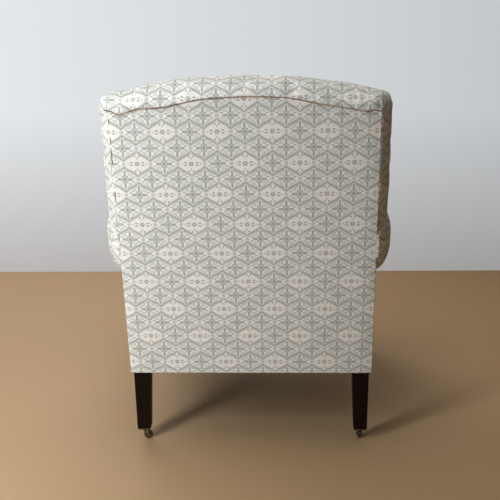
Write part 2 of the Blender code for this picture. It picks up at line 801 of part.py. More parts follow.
def castor_fork_mesh(material):
    """The crown round the pintle and two cheeks that reach the trailing axle."""
    high = CASTOR_HEIGHT - 2 * FIT - CASTOR_PLATE_THICKNESS
    low = high - CROWN_THICKNESS
    inner = WHEEL_WIDTH / 2 + BEARING_CLEARANCE
    fork = disc("crown", CROWN_RADIUS, low, high, material)
    for sign in (-1, 1):
        outline = [(CROWN_RADIUS * 0.6, high - FIT), (-CROWN_RADIUS * 0.75, high - FIT)]
        for degrees in (205, 240, 270, 300, 330, 0, 30):
            angle = math.radians(degrees)
            x = CASTOR_TRAIL + CHEEK_BOSS_RADIUS * math.cos(angle)
            outline.append((x, WHEEL_RADIUS + CHEEK_BOSS_RADIUS * math.sin(angle)))
        points = [Vector((x, sign * inner, z)) for x, z in outline]
        cheek = prism("cheek", points, Vector((0, sign * CHEEK_THICKNESS, 0)), material)
        combine(fork, cheek, "UNION")
    bore = disc("bore", PINTLE_RADIUS + BEARING_CLEARANCE, low - 0.01, high + 0.01, material)
    combine(fork, bore, "DIFFERENCE")
    axle = axle_object("axle_space", BEARING_CLEARANCE / 2, material)
    combine(fork, axle, "DIFFERENCE")
    return evaluated_mesh(fork, "castor_fork")


def turned(name, profile, material, sides=20):
    """A profile of (radius, place along Y) turned about the wheel's axle."""
    bm = bmesh.new()
    loop = [bm.verts.new((CASTOR_TRAIL + r, y, WHEEL_RADIUS)) for r, y in profile]
    edges = [bm.edges.new((loop[i - 1], vertex)) for i, vertex in enumerate(loop)]
    bmesh.ops.spin(
        bm, geom=loop + edges, cent=(CASTOR_TRAIL, 0, WHEEL_RADIUS), axis=(0, 1, 0),
        angle=2 * math.pi, steps=sides, use_merge=True,
    )
    bmesh.ops.remove_doubles(bm, verts=bm.verts, dist=0.000001)
    return finish(bm, name, material)


def castor_wheel_mesh(material):
    half = WHEEL_WIDTH / 2
    bore = AXLE_RADIUS + BEARING_CLEARANCE
    profile = [
        (bore, -half), (WHEEL_RADIUS - WHEEL_EDGE, -half), (WHEEL_RADIUS, WHEEL_EDGE - half),
        (WHEEL_RADIUS, half - WHEEL_EDGE), (WHEEL_RADIUS - WHEEL_EDGE, half), (bore, half),
    ]
    return evaluated_mesh(turned("wheel", profile, material), "castor_wheel")


def axle_object(name, grow, material):
    """The riveted axle: a pin through both cheeks with a head outside each."""
    pin = AXLE_RADIUS + grow
    face = WHEEL_WIDTH / 2 + BEARING_CLEARANCE + CHEEK_THICKNESS + FIT
    tip = face + AXLE_HEAD
    tiny = AXLE_RADIUS / 4
    half = [(pin, face), (AXLE_HEAD_RADIUS, face), (AXLE_HEAD_RADIUS * 0.7, tip), (tiny, tip)]
    bm = bmesh.new()
    profile = [(r, -y) for r, y in reversed(half)] + half
    rings = []
    for radius, y in profile:
        ring = []
        for i in range(12):
            angle = 2 * math.pi * i / 12
            x = CASTOR_TRAIL + radius * math.cos(angle)
            ring.append(bm.verts.new((x, y, WHEEL_RADIUS + radius * math.sin(angle))))
        rings.append(ring)
    for lower, upper in zip(rings, rings[1:]):
        for i, vertex in enumerate(lower):
            bm.faces.new((lower[i - 1], vertex, upper[i], upper[i - 1]))
    bm.faces.new(rings[0])
    bm.faces.new(rings[-1])
    return finish(bm, name, material)


def castors(materials):
    """A plate, fork, axle and wheel under each leg, each fork turned its own way."""
    plate = castor_plate_mesh(materials["brass"])
    fork = castor_fork_mesh(materials["brass"])
    wheel = castor_wheel_mesh(materials["wheel"])
    axle = evaluated_mesh(axle_object("axle", 0, materials["brass"]), "castor_axle")
    x = FRAME_OUT - LEG_FOOT_SET_IN - LEG_FOOT / 2
    front_y = FRAME_FRONT + LEG_FOOT_SET_IN + LEG_FOOT / 2
    rear_y = HEM_Y + POST_REAR_S - LEG_FOOT_SET_IN - LEG_FOOT / 2
    places = {
        "rear_right": (x, rear_y, REAR_RIGHT_CASTOR_TURN),
        "rear_left": (-x, rear_y, REAR_LEFT_CASTOR_TURN),
        "front_right": (x, front_y, FRONT_RIGHT_CASTOR_TURN),
        "front_left": (-x, front_y, FRONT_LEFT_CASTOR_TURN),
    }
    for corner, (castor_x, castor_y, turn) in places.items():
        place(f"castor_plate_{corner}", plate).location = (castor_x, castor_y, 0)
        swivel = bpy.data.objects.new(f"swivel_{corner}", None)
        bpy.context.scene.collection.objects.link(swivel)
        swivel.location = (castor_x, castor_y, 0)
        swivel.rotation_euler.z = turn
        for piece, mesh in (("fork", fork), ("wheel", wheel), ("axle", axle)):
            place(f"castor_{piece}_{corner}", mesh, parent=swivel)


def main():
    for obj in list(bpy.data.objects):
        bpy.data.objects.remove(obj)
    materials = make_materials()
    for side, sign in SIDES.items():
        rear_leg(side, sign, materials["leg"])
        front_leg(side, sign, materials["leg"])
    seat_rails(materials["beech"])
    corner_blocks(materials["beech"])
    arm_frames(materials["beech"])
    back_rails(materials["beech"])
    seat_webbing(materials["webbing"])
    back_webbing(materials["webbing"])
    seat_springs(materials["steel"])
    seat_deck(materials["hessian"])
    bottoming(materials["bottoming"])
    frame_space = cutter(
        arched_plate(
            "frame_space", FRAME_OUT + FIT, HEM_HEIGHT, lambda x: rail_top_z(x) + FIT,
            PAD_REAR_S - FIT, BODY_HALF, materials["beech"],
        )
    )
    outside_back(materials["fabric"])
    inside_back(materials["fabric"])
    back_borders(materials["fabric"])
    back_top_roll(frame_space, materials["fabric"])
    arm_pads(frame_space, materials["fabric"])
    arm_facings(materials["fabric"])
    outside_arms(materials["fabric"])
    front_border(materials["fabric"])
    seat_cushion(materials["fabric"])
    castors(materials)


if __name__ == "__main__":
    main()
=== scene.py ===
"""Library chair: the finish of every surface, the stuffed covers and the trim.

Metres, +Z up. The chair faces -Y and its outside back faces +Y. Names ending in
_left lie at -X and names ending in _right at +X, as in the frame.
"""

import logging
import math
from collections.abc import Callable, Mapping, Sequence
from dataclasses import dataclass
from enum import Enum
from functools import reduce

import bmesh
import bpy
import numpy as np
from mathutils import Matrix, Vector, noise


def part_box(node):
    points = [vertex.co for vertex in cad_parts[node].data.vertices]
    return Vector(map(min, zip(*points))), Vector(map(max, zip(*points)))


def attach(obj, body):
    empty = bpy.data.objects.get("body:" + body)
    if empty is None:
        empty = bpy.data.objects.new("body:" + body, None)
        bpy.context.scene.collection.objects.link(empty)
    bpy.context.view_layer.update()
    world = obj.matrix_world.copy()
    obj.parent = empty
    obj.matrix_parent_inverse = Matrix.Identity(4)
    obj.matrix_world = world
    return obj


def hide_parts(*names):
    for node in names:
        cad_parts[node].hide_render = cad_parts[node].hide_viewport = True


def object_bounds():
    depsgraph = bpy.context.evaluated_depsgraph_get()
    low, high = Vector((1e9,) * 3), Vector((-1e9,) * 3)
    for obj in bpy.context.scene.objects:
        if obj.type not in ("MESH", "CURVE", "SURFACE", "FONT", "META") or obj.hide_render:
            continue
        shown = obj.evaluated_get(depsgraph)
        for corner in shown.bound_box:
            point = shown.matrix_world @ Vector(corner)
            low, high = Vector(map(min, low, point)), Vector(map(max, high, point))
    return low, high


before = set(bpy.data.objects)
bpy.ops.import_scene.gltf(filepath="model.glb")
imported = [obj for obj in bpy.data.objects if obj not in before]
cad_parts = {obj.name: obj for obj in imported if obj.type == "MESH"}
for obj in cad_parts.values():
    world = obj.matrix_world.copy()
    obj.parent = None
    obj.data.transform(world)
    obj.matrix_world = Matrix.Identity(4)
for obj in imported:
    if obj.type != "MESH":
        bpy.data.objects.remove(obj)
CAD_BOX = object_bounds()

LOG = logging.getLogger("library_chair")
CLOTH_MAP = "cloth"
HELD_GROUP = "held"
WELD = 2e-5
DEGENERATE = 1e-6

Triple = tuple[float, float, float]
Colour = Triple
Points = np.ndarray
Material = bpy.types.Material
Socket = bpy.types.NodeSocket
Object = bpy.types.Object


def scaled(parts: Triple, factor: float) -> Triple:
    """Three numbers times a factor."""
    return tuple(part * factor for part in parts)


class Side(Enum):
    """The two sides of the chair, with the sign of their X."""

    LEFT = -1
    RIGHT = 1

    @property
    def word(self) -> str:
        """The side's part of a piece's name."""
        return self.name.lower()


class Body(Enum):
    """The rigid bodies that upholstery rides on."""

    CHAIR = "chair"
    CUSHION = "cushion"


class Slot(Enum):
    """The record's material slots, which dressed() is handed for new pieces and doesn't use."""

    LINEN = "printed_linen"
    HESSIAN = "hessian"
    BLACK_CLOTH = "black_cloth"


# Node trees


class NodeMaker:
    """A node tree that is filled through one node-making method."""

    def __init__(self, tree: bpy.types.NodeTree) -> None:
        """Keep the tree that the nodes go into."""
        self.tree = tree

    def node(
        self,
        kind: str,
        settings: Mapping[str, object] | None = None,
        inputs: Mapping[str | int, object] | None = None,
    ) -> bpy.types.Node:
        """Make a node, set it up, and feed its sockets.

        Args:
            kind: The node's type name.
            settings: Properties that are set first; "stops" fills a colour ramp.
            inputs: Values or wires by socket name or number.

        Returns:
            The new node.
        """
        made = self.tree.nodes.new(kind)
        for key, value in (settings or {}).items():
            if key == "stops":
                elements = made.color_ramp.elements
                while len(elements) < len(value):
                    elements.new(1.0)
                for element, (place, colour) in zip(elements, value):
                    element.position = place
                    element.color = (*colour, 1.0)
            else:
                setattr(made, key, value)
        for key, value in (inputs or {}).items():
            self.feed(made.inputs[key], value)
        return made

    def feed(self, socket: Socket, value: object) -> None:
        """Link or set one socket.

        Args:
            socket: The input socket.
            value: A wire, an output socket, a number, a vector or a colour.
        """
        if isinstance(value, Wire):
            self.tree.links.new(value.socket, socket)
        elif isinstance(value, Socket):
            self.tree.links.new(value, socket)
        elif socket.type == "RGBA" and len(value) == 3:
            socket.default_value = (*value, 1.0)
        else:
            socket.default_value = value

    def shown(self) -> "Wire":
        """A mask of the rays that show a thing as it is: the camera's and a gloss's."""
        rays = self.node("ShaderNodeLightPath").outputs
        return Wire(self, rays["Is Camera Ray"]).at_least(Wire(self, rays["Is Glossy Ray"]))

    def mixed(self, factor: object, first: object, second: object) -> Socket:
        """The first shader where the factor is 0, and the second where it is 1."""
        return self.node("ShaderNodeMixShader", inputs={0: factor, 1: first, 2: second}).outputs[0]

    def vector(self, *parts: object) -> Socket:
        """A vector from its parts."""
        return self.node("ShaderNodeCombineXYZ", inputs=dict(enumerate(parts))).outputs[0]


def math_method(operation: str, swapped: bool = False) -> Callable[..., "Wire"]:
    """Make a method of a wire that adds one Math node.

    Args:
        operation: The node's operation.
        swapped: Whether the wire comes after the other value, as in 1 - mask.

    Returns:
        The method.
    """

    def method(wire: "Wire", *others: object) -> "Wire":
        """The node's result for the wire and the other values."""
        return wire.math(operation, *((*others, wire) if swapped else (wire, *others)))

    return method


class Wire:
    """An output socket that takes part in Python expressions."""

    __add__ = __radd__ = math_method("ADD")
    __sub__ = math_method("SUBTRACT")
    __rsub__ = math_method("SUBTRACT", swapped=True)
    __mul__ = __rmul__ = math_method("MULTIPLY")
    __truediv__ = math_method("DIVIDE")
    __pow__ = math_method("POWER")
    __abs__ = math_method("ABSOLUTE")
    at_most = math_method("MINIMUM")
    at_least = math_method("MAXIMUM")
    sine = math_method("SINE")
    cosine = math_method("COSINE")
    nearest = math_method("ROUND")
    bearing = math_method("ARCTAN2")

    def __init__(self, maker: NodeMaker, socket: Socket) -> None:
        """Keep the socket and the tree it belongs to."""
        self.maker = maker
        self.socket = socket

    def math(self, operation: str, *values: object, clamp: bool = False) -> "Wire":
        """Add a Math node.

        Args:
            operation: The node's operation.
            values: Its inputs in order, numbers or wires.
            clamp: Whether the result is kept between 0 and 1.

        Returns:
            The node's result.
        """
        settings = {"operation": operation, "use_clamp": clamp}
        made = self.maker.node("ShaderNodeMath", settings, dict(enumerate(values)))
        return Wire(self.maker, made.outputs[0])

    def share(self, factor: object, offset: object) -> "Wire":
        """The value times a factor plus an offset, kept between 0 and 1."""
        return self.math("MULTIPLY_ADD", self, factor, offset, clamp=True)

    def past_nearest(self) -> "Wire":
        """How far the value lies past its nearest whole number."""
        return self - self.nearest()

    def below(self, limit: object, soft: float) -> "Wire":
        """A mask that is 1 below a limit and 0 above it.

        Args:
            limit: A number or a wire.
            soft: The width over which the mask changes.

        Returns:
            The mask.
        """
        if isinstance(limit, Wire):
            return (limit - self).share(1 / soft, 0.5)
        return self.share(-1 / soft, limit / soft + 0.5)

    def above(self, limit: float, soft: float) -> "Wire":
        """A mask that is 1 above a limit and 0 below it."""
        return self.share(1 / soft, 0.5 - limit / soft)


class Shader(NodeMaker):
    """The node tree of one material, with the helpers that its finish needs."""

    def __init__(self, name: str) -> None:
        """Start a material with a Principled shader and nothing else.

        Args:
            name: The material's name.
        """
        self.material = bpy.data.materials.new(name)
        self.material.use_nodes = True
        super().__init__(self.material.node_tree)
        self.surface = self.tree.nodes["Principled BSDF"]

    def coordinates(self, flat: bool = False) -> Socket:
        """Where the pattern is read: on the cloth, or in the object's own space.

        Args:
            flat: True for the cloth's own map.

        Returns:
            The vector output.
        """
        if flat:
            return self.node("ShaderNodeUVMap", {"uv_map": CLOTH_MAP}).outputs["UV"]
        return self.node("ShaderNodeTexCoord").outputs["Object"]

    def split(self, vector: Socket) -> list[Wire]:
        """The three parts of a vector as wires."""
        made = self.node("ShaderNodeSeparateXYZ", inputs={0: vector})
        return [Wire(self, socket) for socket in made.outputs]

    def stretch(self, vector: Socket, scale: Triple) -> Socket:
        """A vector scaled along its three axes."""
        settings = {"operation": "MULTIPLY"}
        return self.node("ShaderNodeVectorMath", settings, {0: vector, 1: scale}).outputs[0]

    def mottle(self, vector: Socket, scale: float, detail: float = 2.0, rough: float = 0.5) -> Wire:
        """Noise between about 0.2 and 0.8, with finer layers for its detail."""
        inputs = {"Vector": vector, "Scale": scale, "Detail": detail, "Roughness": rough}
        return Wire(self, self.node("ShaderNodeTexNoise", inputs=inputs).outputs[0])

    def blend(self, factor: object, first: object, second: object) -> Socket:
        """The first colour where the factor is 0, and the second where it is 1."""
        settings = {"data_type": "RGBA", "clamp_factor": True}
        return self.node("ShaderNodeMix", settings, {0: factor, 6: first, 7: second}).outputs[2]

    def multiplied(self, first: object, second: object) -> Socket:
        """One colour multiplied by another."""
        settings = {"data_type": "RGBA", "blend_type": "MULTIPLY"}
        return self.node("ShaderNodeMix", settings, {0: 1.0, 6: first, 7: second}).outputs[2]

    def grey(self, level: Wire) -> Socket:
        """A grey of the given level."""
        parts = dict.fromkeys(("Red", "Green", "Blue"), level)
        return self.node("ShaderNodeCombineColor", inputs=parts).outputs[0]

    def relief(self, height: Wire, strength: float, distance: float) -> None:
        """Give the surface a bump whose height of 1 is a distance in metres."""
        inputs = {"Strength": strength, "Distance": distance, "Height": height}
        self.finish({"Normal": self.node("ShaderNodeBump", inputs=inputs).outputs[0]})

    def finish(self, inputs: Mapping[str, object]) -> Material:
        """Feed the surface shader.

        Args:
            inputs: Values or wires by socket name.

        Returns:
            The material.
        """
        for key, value in inputs.items():
            self.feed(self.surface.inputs[key], value)
        return self.material


# Finishes


Spots = tuple[tuple[float, float, float, float], ...]


@dataclass(frozen=True)
class PrintedLinen:
    """Linen union with a one-colour ogee trellis, printed by hand.

    The print lies on the cloth's own map, in metres. A cell is one mesh of the trellis,
    and a repeat is two rows of cells. Every fourth cell is open, with a lighter ground
    and a sprig in it, and the others hold a star flower. A spot's numbers are its
    middle, across and up from the cell's, and its two radii.
    """

    name: str = "printed_linen"
    ground: Colour = (0.745, 0.735, 0.705)
    open_ground: Colour = (0.760, 0.722, 0.688)
    ink: Colour = (0.318, 0.340, 0.303)
    cell: float = 0.060
    repeat: float = 0.074
    taper: float = 0.125
    wander: float = 0.004
    leaf: float = 0.0025
    line: float = 0.00030
    edging_out: float = 0.0037
    echo_out: float = 0.0050
    echo_half: float = 0.00042
    ink_edge: float = 0.0007
    thread: float = 0.0009
    star_spots: Spots = (
        (0.0190, 0.0054, 0.0030, 0.0016),
        (0.0062, 0.0186, 0.0012, 0.0026),
        (0.0, 0.0272, 0.0014, 0.0026),
    )
    sprig_spots: Spots = (
        (0.0130, 0.0032, 0.0040, 0.0018),
        (0.0044, 0.0176, 0.0018, 0.0026),
        (0.0205, 0.0, 0.0016, 0.0016),
        (0.0, 0.0128, 0.0010, 0.0034),
    )
    scroll_place: tuple[float, float] = (0.0126, 0.0120)

    def material(self) -> Material:
        """Build the cloth's material.

        Returns:
            The material.
        """
        shader = Shader(self.name)
        flat = shader.coordinates(flat=True)
        u, v, _ = shader.split(flat)
        across = (u + (shader.mottle(flat, 9.0) - 0.5) * self.wander) / self.cell
        up = (v + (shader.mottle(flat, 13.0) - 0.5) * self.wander) / self.repeat
        printed, is_open = self.printed(across, up)
        fibre = shader.mottle(shader.stretch(flat, (60.0, 900.0, 1.0)), 1.0)
        slub = shader.mottle(shader.stretch(flat, (1100.0, 70.0, 1.0)), 1.0)
        patch = shader.mottle(flat, 30.0, 4.0, 0.6)
        density = (0.62 + fibre * 0.34 + slub * 0.26 + (patch - 0.5) * 0.3).at_most(1.0)
        cream = shader.blend(is_open * 0.75, self.ground, self.open_ground)
        base = shader.blend(printed * density, cream, self.ink)
        shade = shader.grey(0.93 + (fibre + slub + patch) * 0.05)
        turn = math.pi / self.thread
        weave = abs((u * turn).sine()) * 0.5 + abs((v * turn).sine()) * 0.5
        shader.relief(weave * 0.5 + (fibre + slub) * 0.5, 0.35, 0.00035)
        return shader.finish({
            "Base Color": shader.multiplied(base, shade),
            "Roughness": 0.86 + patch * 0.12,
            "Specular IOR Level": 0.22,
            "Sheen Weight": 0.10,
            "Sheen Roughness": 0.45,
        })

    def printed(self, across: Wire, up: Wire) -> tuple[Wire, Wire]:
        """Where the ink lies.

        Args:
            across: Cells counted across the cloth.
            up: Repeats counted up the cloth.

        Returns:
            The ink mask, and a mask of the open cells.
        """
        soft = self.ink_edge
        x_even, y_even = across.past_nearest(), up.past_nearest()
        x_odd, y_odd = (across - 0.5).past_nearest(), (up - 0.5).past_nearest()
        turn = up * (2 * math.pi)
        bulge, wave = turn.sine(), turn.cosine()
        sway = wave * (math.pi / 2)
        belly = 0.25 - self.taper
        outside = abs(x_even) - (sway.sine() * belly + wave * self.taper + 0.25)
        turned = sway.cosine() * (math.pi / 2 * belly) + self.taper
        slope = bulge * turned * (2 * math.pi * self.cell / self.repeat)
        trellis = abs(outside) * self.cell / ((slope * slope + 1) ** 0.5)
        even = outside.below(0.0, 0.004)
        odd = 1 - even
        x = (x_even * even + x_odd * odd) * self.cell
        y = (y_even * even + y_odd * odd) * self.repeat
        count = across - x_even + (up - y_even)
        is_open = even * abs((count / 2).past_nearest()).below(0.25, 0.02)
        is_full = 1 - is_open
        wide = abs(bulge)
        leaves = trellis.below((wide**0.8) * self.leaf, soft)
        vein = trellis.below(self.line, soft) * wide.above(0.45, 0.1) * 0.5
        edging = abs(trellis - self.edging_out).below(self.line, soft) * wide.above(0.25, 0.3)
        dashes = (up * (22 * math.pi)).sine().above(-0.1, 0.6)
        echo = abs(trellis - self.echo_out).below(self.echo_half, soft) * dashes * is_full
        motif = self.star(x, y) * is_full + self.sprig(x, y) * is_open
        side_joint = (x_odd * self.cell, y_even * self.repeat)
        end_joint = (x_even * self.cell, y_odd * self.repeat)
        rosette, halo = self.rosette(side_joint, end_joint)
        lines = (leaves * (1 - vein)).at_least(edging * 0.8).at_least(echo * 0.85)
        return (lines.at_least(motif) * halo).at_least(rosette), is_open

    def rosette(self, first: tuple[Wire, Wire], second: tuple[Wire, Wire]) -> tuple[Wire, Wire]:
        """A six-petalled dot on the trellis's nearer joint, and the clear ring round it.

        Args:
            first: Distances across and up from the joint at a cell's side.
            second: Distances across and up from the joint at a cell's end.

        Returns:
            The ink mask, and a mask that is 0 close to the joint.
        """
        soft = self.ink_edge
        far_first, far_second = ((x * x + y * y) ** 0.5 for x, y in (first, second))
        nearer = far_first.below(far_second, 0.001)
        x, y = (a * nearer + b * (1 - nearer) for a, b in zip(first, second))
        far = far_first.at_most(far_second)
        petals = far.below((y.bearing(x) * 6).cosine() * 0.0012 + 0.0038, soft)
        eye = far.below(0.0014, soft)
        return (petals * far.above(0.0023, soft)).at_least(eye), far.above(0.0060, soft)

    def spots(self, x: Wire, y: Wire, spots: Spots) -> Wire:
        """Oval spots of ink, alike in the four quarters of a cell.

        Args:
            x: Distance across from the cell's middle.
            y: Distance up from it.
            spots: The spots.

        Returns:
            The mask of all of them.
        """
        masks = []
        for across, up, *radii in spots:
            wide, high = (abs(x) - across) / radii[0], (abs(y) - up) / radii[1]
            masks.append((wide * wide + high * high).below(1.0, 2 * self.ink_edge / min(radii)))
        return reduce(Wire.at_least, masks)

    def star(self, x: Wire, y: Wire) -> Wire:
        """An eight-rayed star flower with small leaves and scrolls round it.

        Args:
            x: Distance across from the cell's middle.
            y: Distance up from it.

        Returns:
            The mask.
        """
        soft = self.ink_edge
        tall = y / 1.25
        far = (x * x + tall * tall) ** 0.5
        angle = tall.bearing(x)
        reach = (angle * 4).cosine() * 0.0040 + (angle * 8).cosine() * 0.0034 + 0.0106
        vein = (far * abs((angle * 2).sine())).below(0.00045, soft) * far.above(0.0062, soft)
        ring = abs(far - 0.0048).below(0.00055, soft)
        flower = far.below(reach, soft) * (1 - vein * far.below(0.0138, soft)) * (1 - ring)
        across, up = self.scroll_place
        scroll = self.scroll(abs(x) - across, abs(y) - up)
        return flower.at_least(self.spots(x, y, self.star_spots)).at_least(scroll)

    def scroll(self, x: Wire, y: Wire) -> Wire:
        """A small open ring round a dot.

        Args:
            x: Distance across from its middle.
            y: Distance up from it.

        Returns:
            The mask.
        """
        far = (x * x + y * y) ** 0.5
        ring = abs(far - 0.0039).below(0.00065, self.ink_edge) * (x + y).below(0.0040, 0.001)
        return ring.at_least(far.below(0.0013, self.ink_edge))

    def sprig(self, x: Wire, y: Wire) -> Wire:
        """A small six-petalled blossom between leaves and dots.

        Args:
            x: Distance across from the cell's middle.
            y: Distance up from it.

        Returns:
            The mask.
        """
        far = (x * x + y * y) ** 0.5
        blossom = far.below((y.bearing(x) * 6).cosine() * 0.0016 + 0.0054, self.ink_edge)
        eye = far.below(0.0014, self.ink_edge)
        return (blossom * (1 - eye)).at_least(self.spots(x, y, self.sprig_spots))


@dataclass(frozen=True)
class Wood:
    """Straight-grained wood, which is rubbed at its foot and raw where a cover hides it.

    The grain is how often the figure changes along each axis, per metre.
    """

    name: str
    light: Colour
    dark: Colour
    roughness: float
    grain: Triple
    specular: float = 0.4
    foot_wear: float = 0.0
    raw: Colour = (0.50, 0.33, 0.19)
    raw_above: float = 0.196

    def material(self) -> Material:
        """Build the wood's material.

        Returns:
            The material.
        """
        shader = Shader(self.name)
        place = shader.coordinates()
        fine = shader.mottle(shader.stretch(place, self.grain), 1.0, 5.0, 0.62)
        figure = shader.mottle(shader.stretch(place, scaled(self.grain, 0.22)), 1.0, 3.0)
        pores = shader.mottle(shader.stretch(place, scaled(self.grain, 3.2)), 1.0)
        pore = pores.below(0.40, 0.08)
        share = figure.share(0.6, fine * 0.5)
        base = shader.blend(share, self.dark, self.light)
        base = shader.blend(pore * 0.45, base, self.dark)
        rough = self.roughness + (fine - 0.5) * 0.16 + pore * 0.1
        if self.foot_wear:
            _, _, z = shader.split(place)
            scuff = shader.mottle(place, 160.0, 4.0, 0.7)
            worn = z.below(0.075, 0.05) * scuff.above(0.60, 0.08) * self.foot_wear
            bare = z.above(self.raw_above, 0.003)
            raw = shader.blend(share, scaled(self.raw, 0.7), self.raw)
            base = shader.blend(worn, base, scaled(self.light, 3.5))
            base = shader.blend(bare, base, raw)
            rough = rough + worn * 0.3 + bare * 0.2
        shader.relief(fine * 0.6 + (1 - pore) * 0.4, 0.25, 0.0004)
        return shader.finish({
            "Base Color": base,
            "Roughness": rough,
            "Specular IOR Level": self.specular,
        })


@dataclass(frozen=True)
class Metal:
    """Metal with a dull film where it isn't rubbed."""

    name: str
    bright: Colour
    film: Colour
    film_share: float
    roughness: float

    def material(self) -> Material:
        """Build the metal's material.

        Returns:
            The material.
        """
        shader = Shader(self.name)
        place = shader.coordinates()
        cloud = shader.mottle(place, 190.0, 4.0, 0.65)
        speck = shader.mottle(place, 900.0, 3.0)
        tarnish = (cloud * 0.7 + speck * 0.3).above(0.72 - 0.5 * self.film_share, 0.22)
        shader.relief(speck * 0.5 + cloud * 0.5, 0.2, 0.0003)
        return shader.finish({
            "Base Color": shader.blend(tarnish, self.bright, self.film),
            "Roughness": self.roughness + tarnish * 0.28 + (speck - 0.5) * 0.1,
            "Metallic": 1 - tarnish * 0.35,
        })


@dataclass(frozen=True)
class WovenCloth:
    """A plain weave whose threads show, read in two of the object's axes."""

    name: str
    light: Colour
    dark: Colour
    thread: float
    axes: tuple[int, int] = (0, 1)
    depth: float = 0.0004

    def material(self) -> Material:
        """Build the cloth's material.

        Returns:
            The material.
        """
        shader = Shader(self.name)
        place = shader.coordinates()
        parts = shader.split(place)
        first, second = (parts[axis] * (math.pi / self.thread) for axis in self.axes)
        over = abs(first.sine()) * abs((second + math.pi / 2).sine())
        under = abs(second.sine()) * abs((first + math.pi / 2).sine())
        hair = shader.mottle(place, 700.0, 4.0, 0.7)
        patch = shader.mottle(place, 22.0, 3.0)
        height = over.at_least(under)
        share = (height * 0.55 + hair * 0.5).share(1.0, (patch - 0.5) * 0.7)
        shader.relief(height * 0.8 + hair * 0.2, 0.6, self.depth)
        return shader.finish({
            "Base Color": shader.blend(share, self.dark, self.light),
            "Roughness": 0.84 + hair * 0.14,
            "Specular IOR Level": 0.2,
            "Sheen Weight": 0.08,
        })


@dataclass(frozen=True)
class ThreadAndShadow:
    """Waxed linen thread, tan, with darker lengths that are painted shadow, the shade of a seam's
    fold.
    """

    name: str = "sewing_thread_and_shadow"
    light: Colour = (0.36, 0.235, 0.13)
    # Painted shadow: the colour of the darker lengths.
    dark: Colour = (0.085, 0.052, 0.030)

    def material(self) -> Material:
        """Build the thread's material.

        Returns:
            The material.
        """
        shader = Shader(self.name)
        place = shader.coordinates()
        # Painted shadow: lengths of the thread darkened at random for the shade of the seam's fold.
        length = shader.mottle(place, 34.0, 3.0, 0.6)
        ply = shader.mottle(place, 2600.0)
        shader.relief(ply, 0.5, 0.0002)
        return shader.finish({
            "Base Color": shader.blend(length.above(0.5, 0.3), self.light, self.dark),
            "Roughness": 0.62 + ply * 0.25,
        })


BEECH = ((0.56, 0.37, 0.21), (0.36, 0.21, 0.105), 0.62)
JUTE = ((0.40, 0.29, 0.17), (0.17, 0.115, 0.06), 0.0021)


class Finish(Enum):
    """Every finish of the chair."""

    LINEN = PrintedLinen()
    LEG_WOOD = Wood(
        "dark_polished_wood", (0.0115, 0.0048, 0.0030), (0.0042, 0.0020, 0.0014), 0.36,
        (420.0, 420.0, 26.0), specular=0.07, foot_wear=0.5,
    )
    BEECH_UPRIGHT = Wood("beech_upright", *BEECH, (300.0, 300.0, 18.0))
    BEECH_ACROSS = Wood("beech_across", *BEECH, (18.0, 300.0, 300.0))
    BEECH_ALONG = Wood("beech_along", *BEECH, (300.0, 18.0, 300.0))
    BRASS = Metal("aged_brass", (0.60, 0.42, 0.16), (0.060, 0.038, 0.018), 0.66, 0.27)
    WHEEL_WOOD = Wood(
        "dark_wheel", (0.040, 0.024, 0.016), (0.012, 0.008, 0.006), 0.42, (300.0, 300.0, 300.0)
    )
    STEEL = Metal("spring_steel", (0.36, 0.33, 0.30), (0.12, 0.06, 0.03), 0.35, 0.35)
    JUTE_FLAT = WovenCloth("jute_webbing", *JUTE)
    JUTE_UPRIGHT = WovenCloth("jute_webbing_upright", *JUTE, axes=(0, 2))
    CALICO = WovenCloth("calico", (0.66, 0.58, 0.45), (0.46, 0.38, 0.27), 0.0011)
    BLACK_CLOTH = WovenCloth(
        "black_bottoming", (0.022, 0.022, 0.024), (0.007, 0.007, 0.008), 0.0010
    )
    # Partly painted shadow: tan thread whose dark lengths stand for the seam fold's shade.
    THREAD = ThreadAndShadow()
    # Painted shadow: the finish of a dark cord that stands for the shade in the gaping side seams.
    DARK_THREAD = ThreadAndShadow("dark_thread", (0.070, 0.056, 0.045), (0.024, 0.018, 0.014))
    TACK = Metal("blued_tack", (0.10, 0.105, 0.12), (0.05, 0.03, 0.02), 0.3, 0.33)


Finishes = Mapping[Finish, Material]


# Meshes


def points_of(*parts: Points | float) -> Points:
    """Points from their parts, such as x, y and z, which are broadcast together."""
    return np.stack(np.broadcast_arrays(*parts), axis=-1)


def unevenness(x: Points, y: Points | float = 0.0, z: float = 0.0) -> Points:
    """Smooth noise between about -1 and 1, read at each place.

    Args:
        x: The places' x.
        y: Their y.
        z: Their z.

    Returns:
        The noise at each place.
    """
    places = points_of(x, y, z)
    values = [noise.noise(Vector(place)) for place in places.reshape(-1, 3)]
    return np.reshape(values, places.shape[:-1])


def smooth(share: Points) -> Points:
    """A share from 0 to 1 that starts and ends gently."""
    share = np.clip(share, 0.0, 1.0)
    return share * share * (3 - 2 * share)


def edged(count: int) -> Points:
    """Shares from 0 to 1, closer together near both ends of a cover."""
    middle = np.linspace(0.03, 0.97, count)
    return np.concatenate([[0.0, 0.004, 0.012], middle, [0.988, 0.996, 1.0]])


def resampled(points: Points, count: int) -> Points:
    """Points at even distances along a line.

    Args:
        points: The line, one point a row.
        count: How many points are wanted.

    Returns:
        The new points.
    """
    run = travel(points)
    wanted = np.linspace(0.0, run[-1], count)
    return points_of(*(np.interp(wanted, run, part) for part in points.T))


def travel(points: Points, axis: int = 0) -> Points:
    """Distance travelled along one axis of a grid of points, from zero.

    Args:
        points: The grid, or one line.
        axis: The axis.

    Returns:
        The distance at each point.
    """
    steps = np.linalg.norm(np.diff(points, axis=axis), axis=-1)
    start = np.zeros_like(np.take(steps, [0], axis=axis))
    return np.concatenate([start, np.cumsum(steps, axis=axis)], axis=axis)


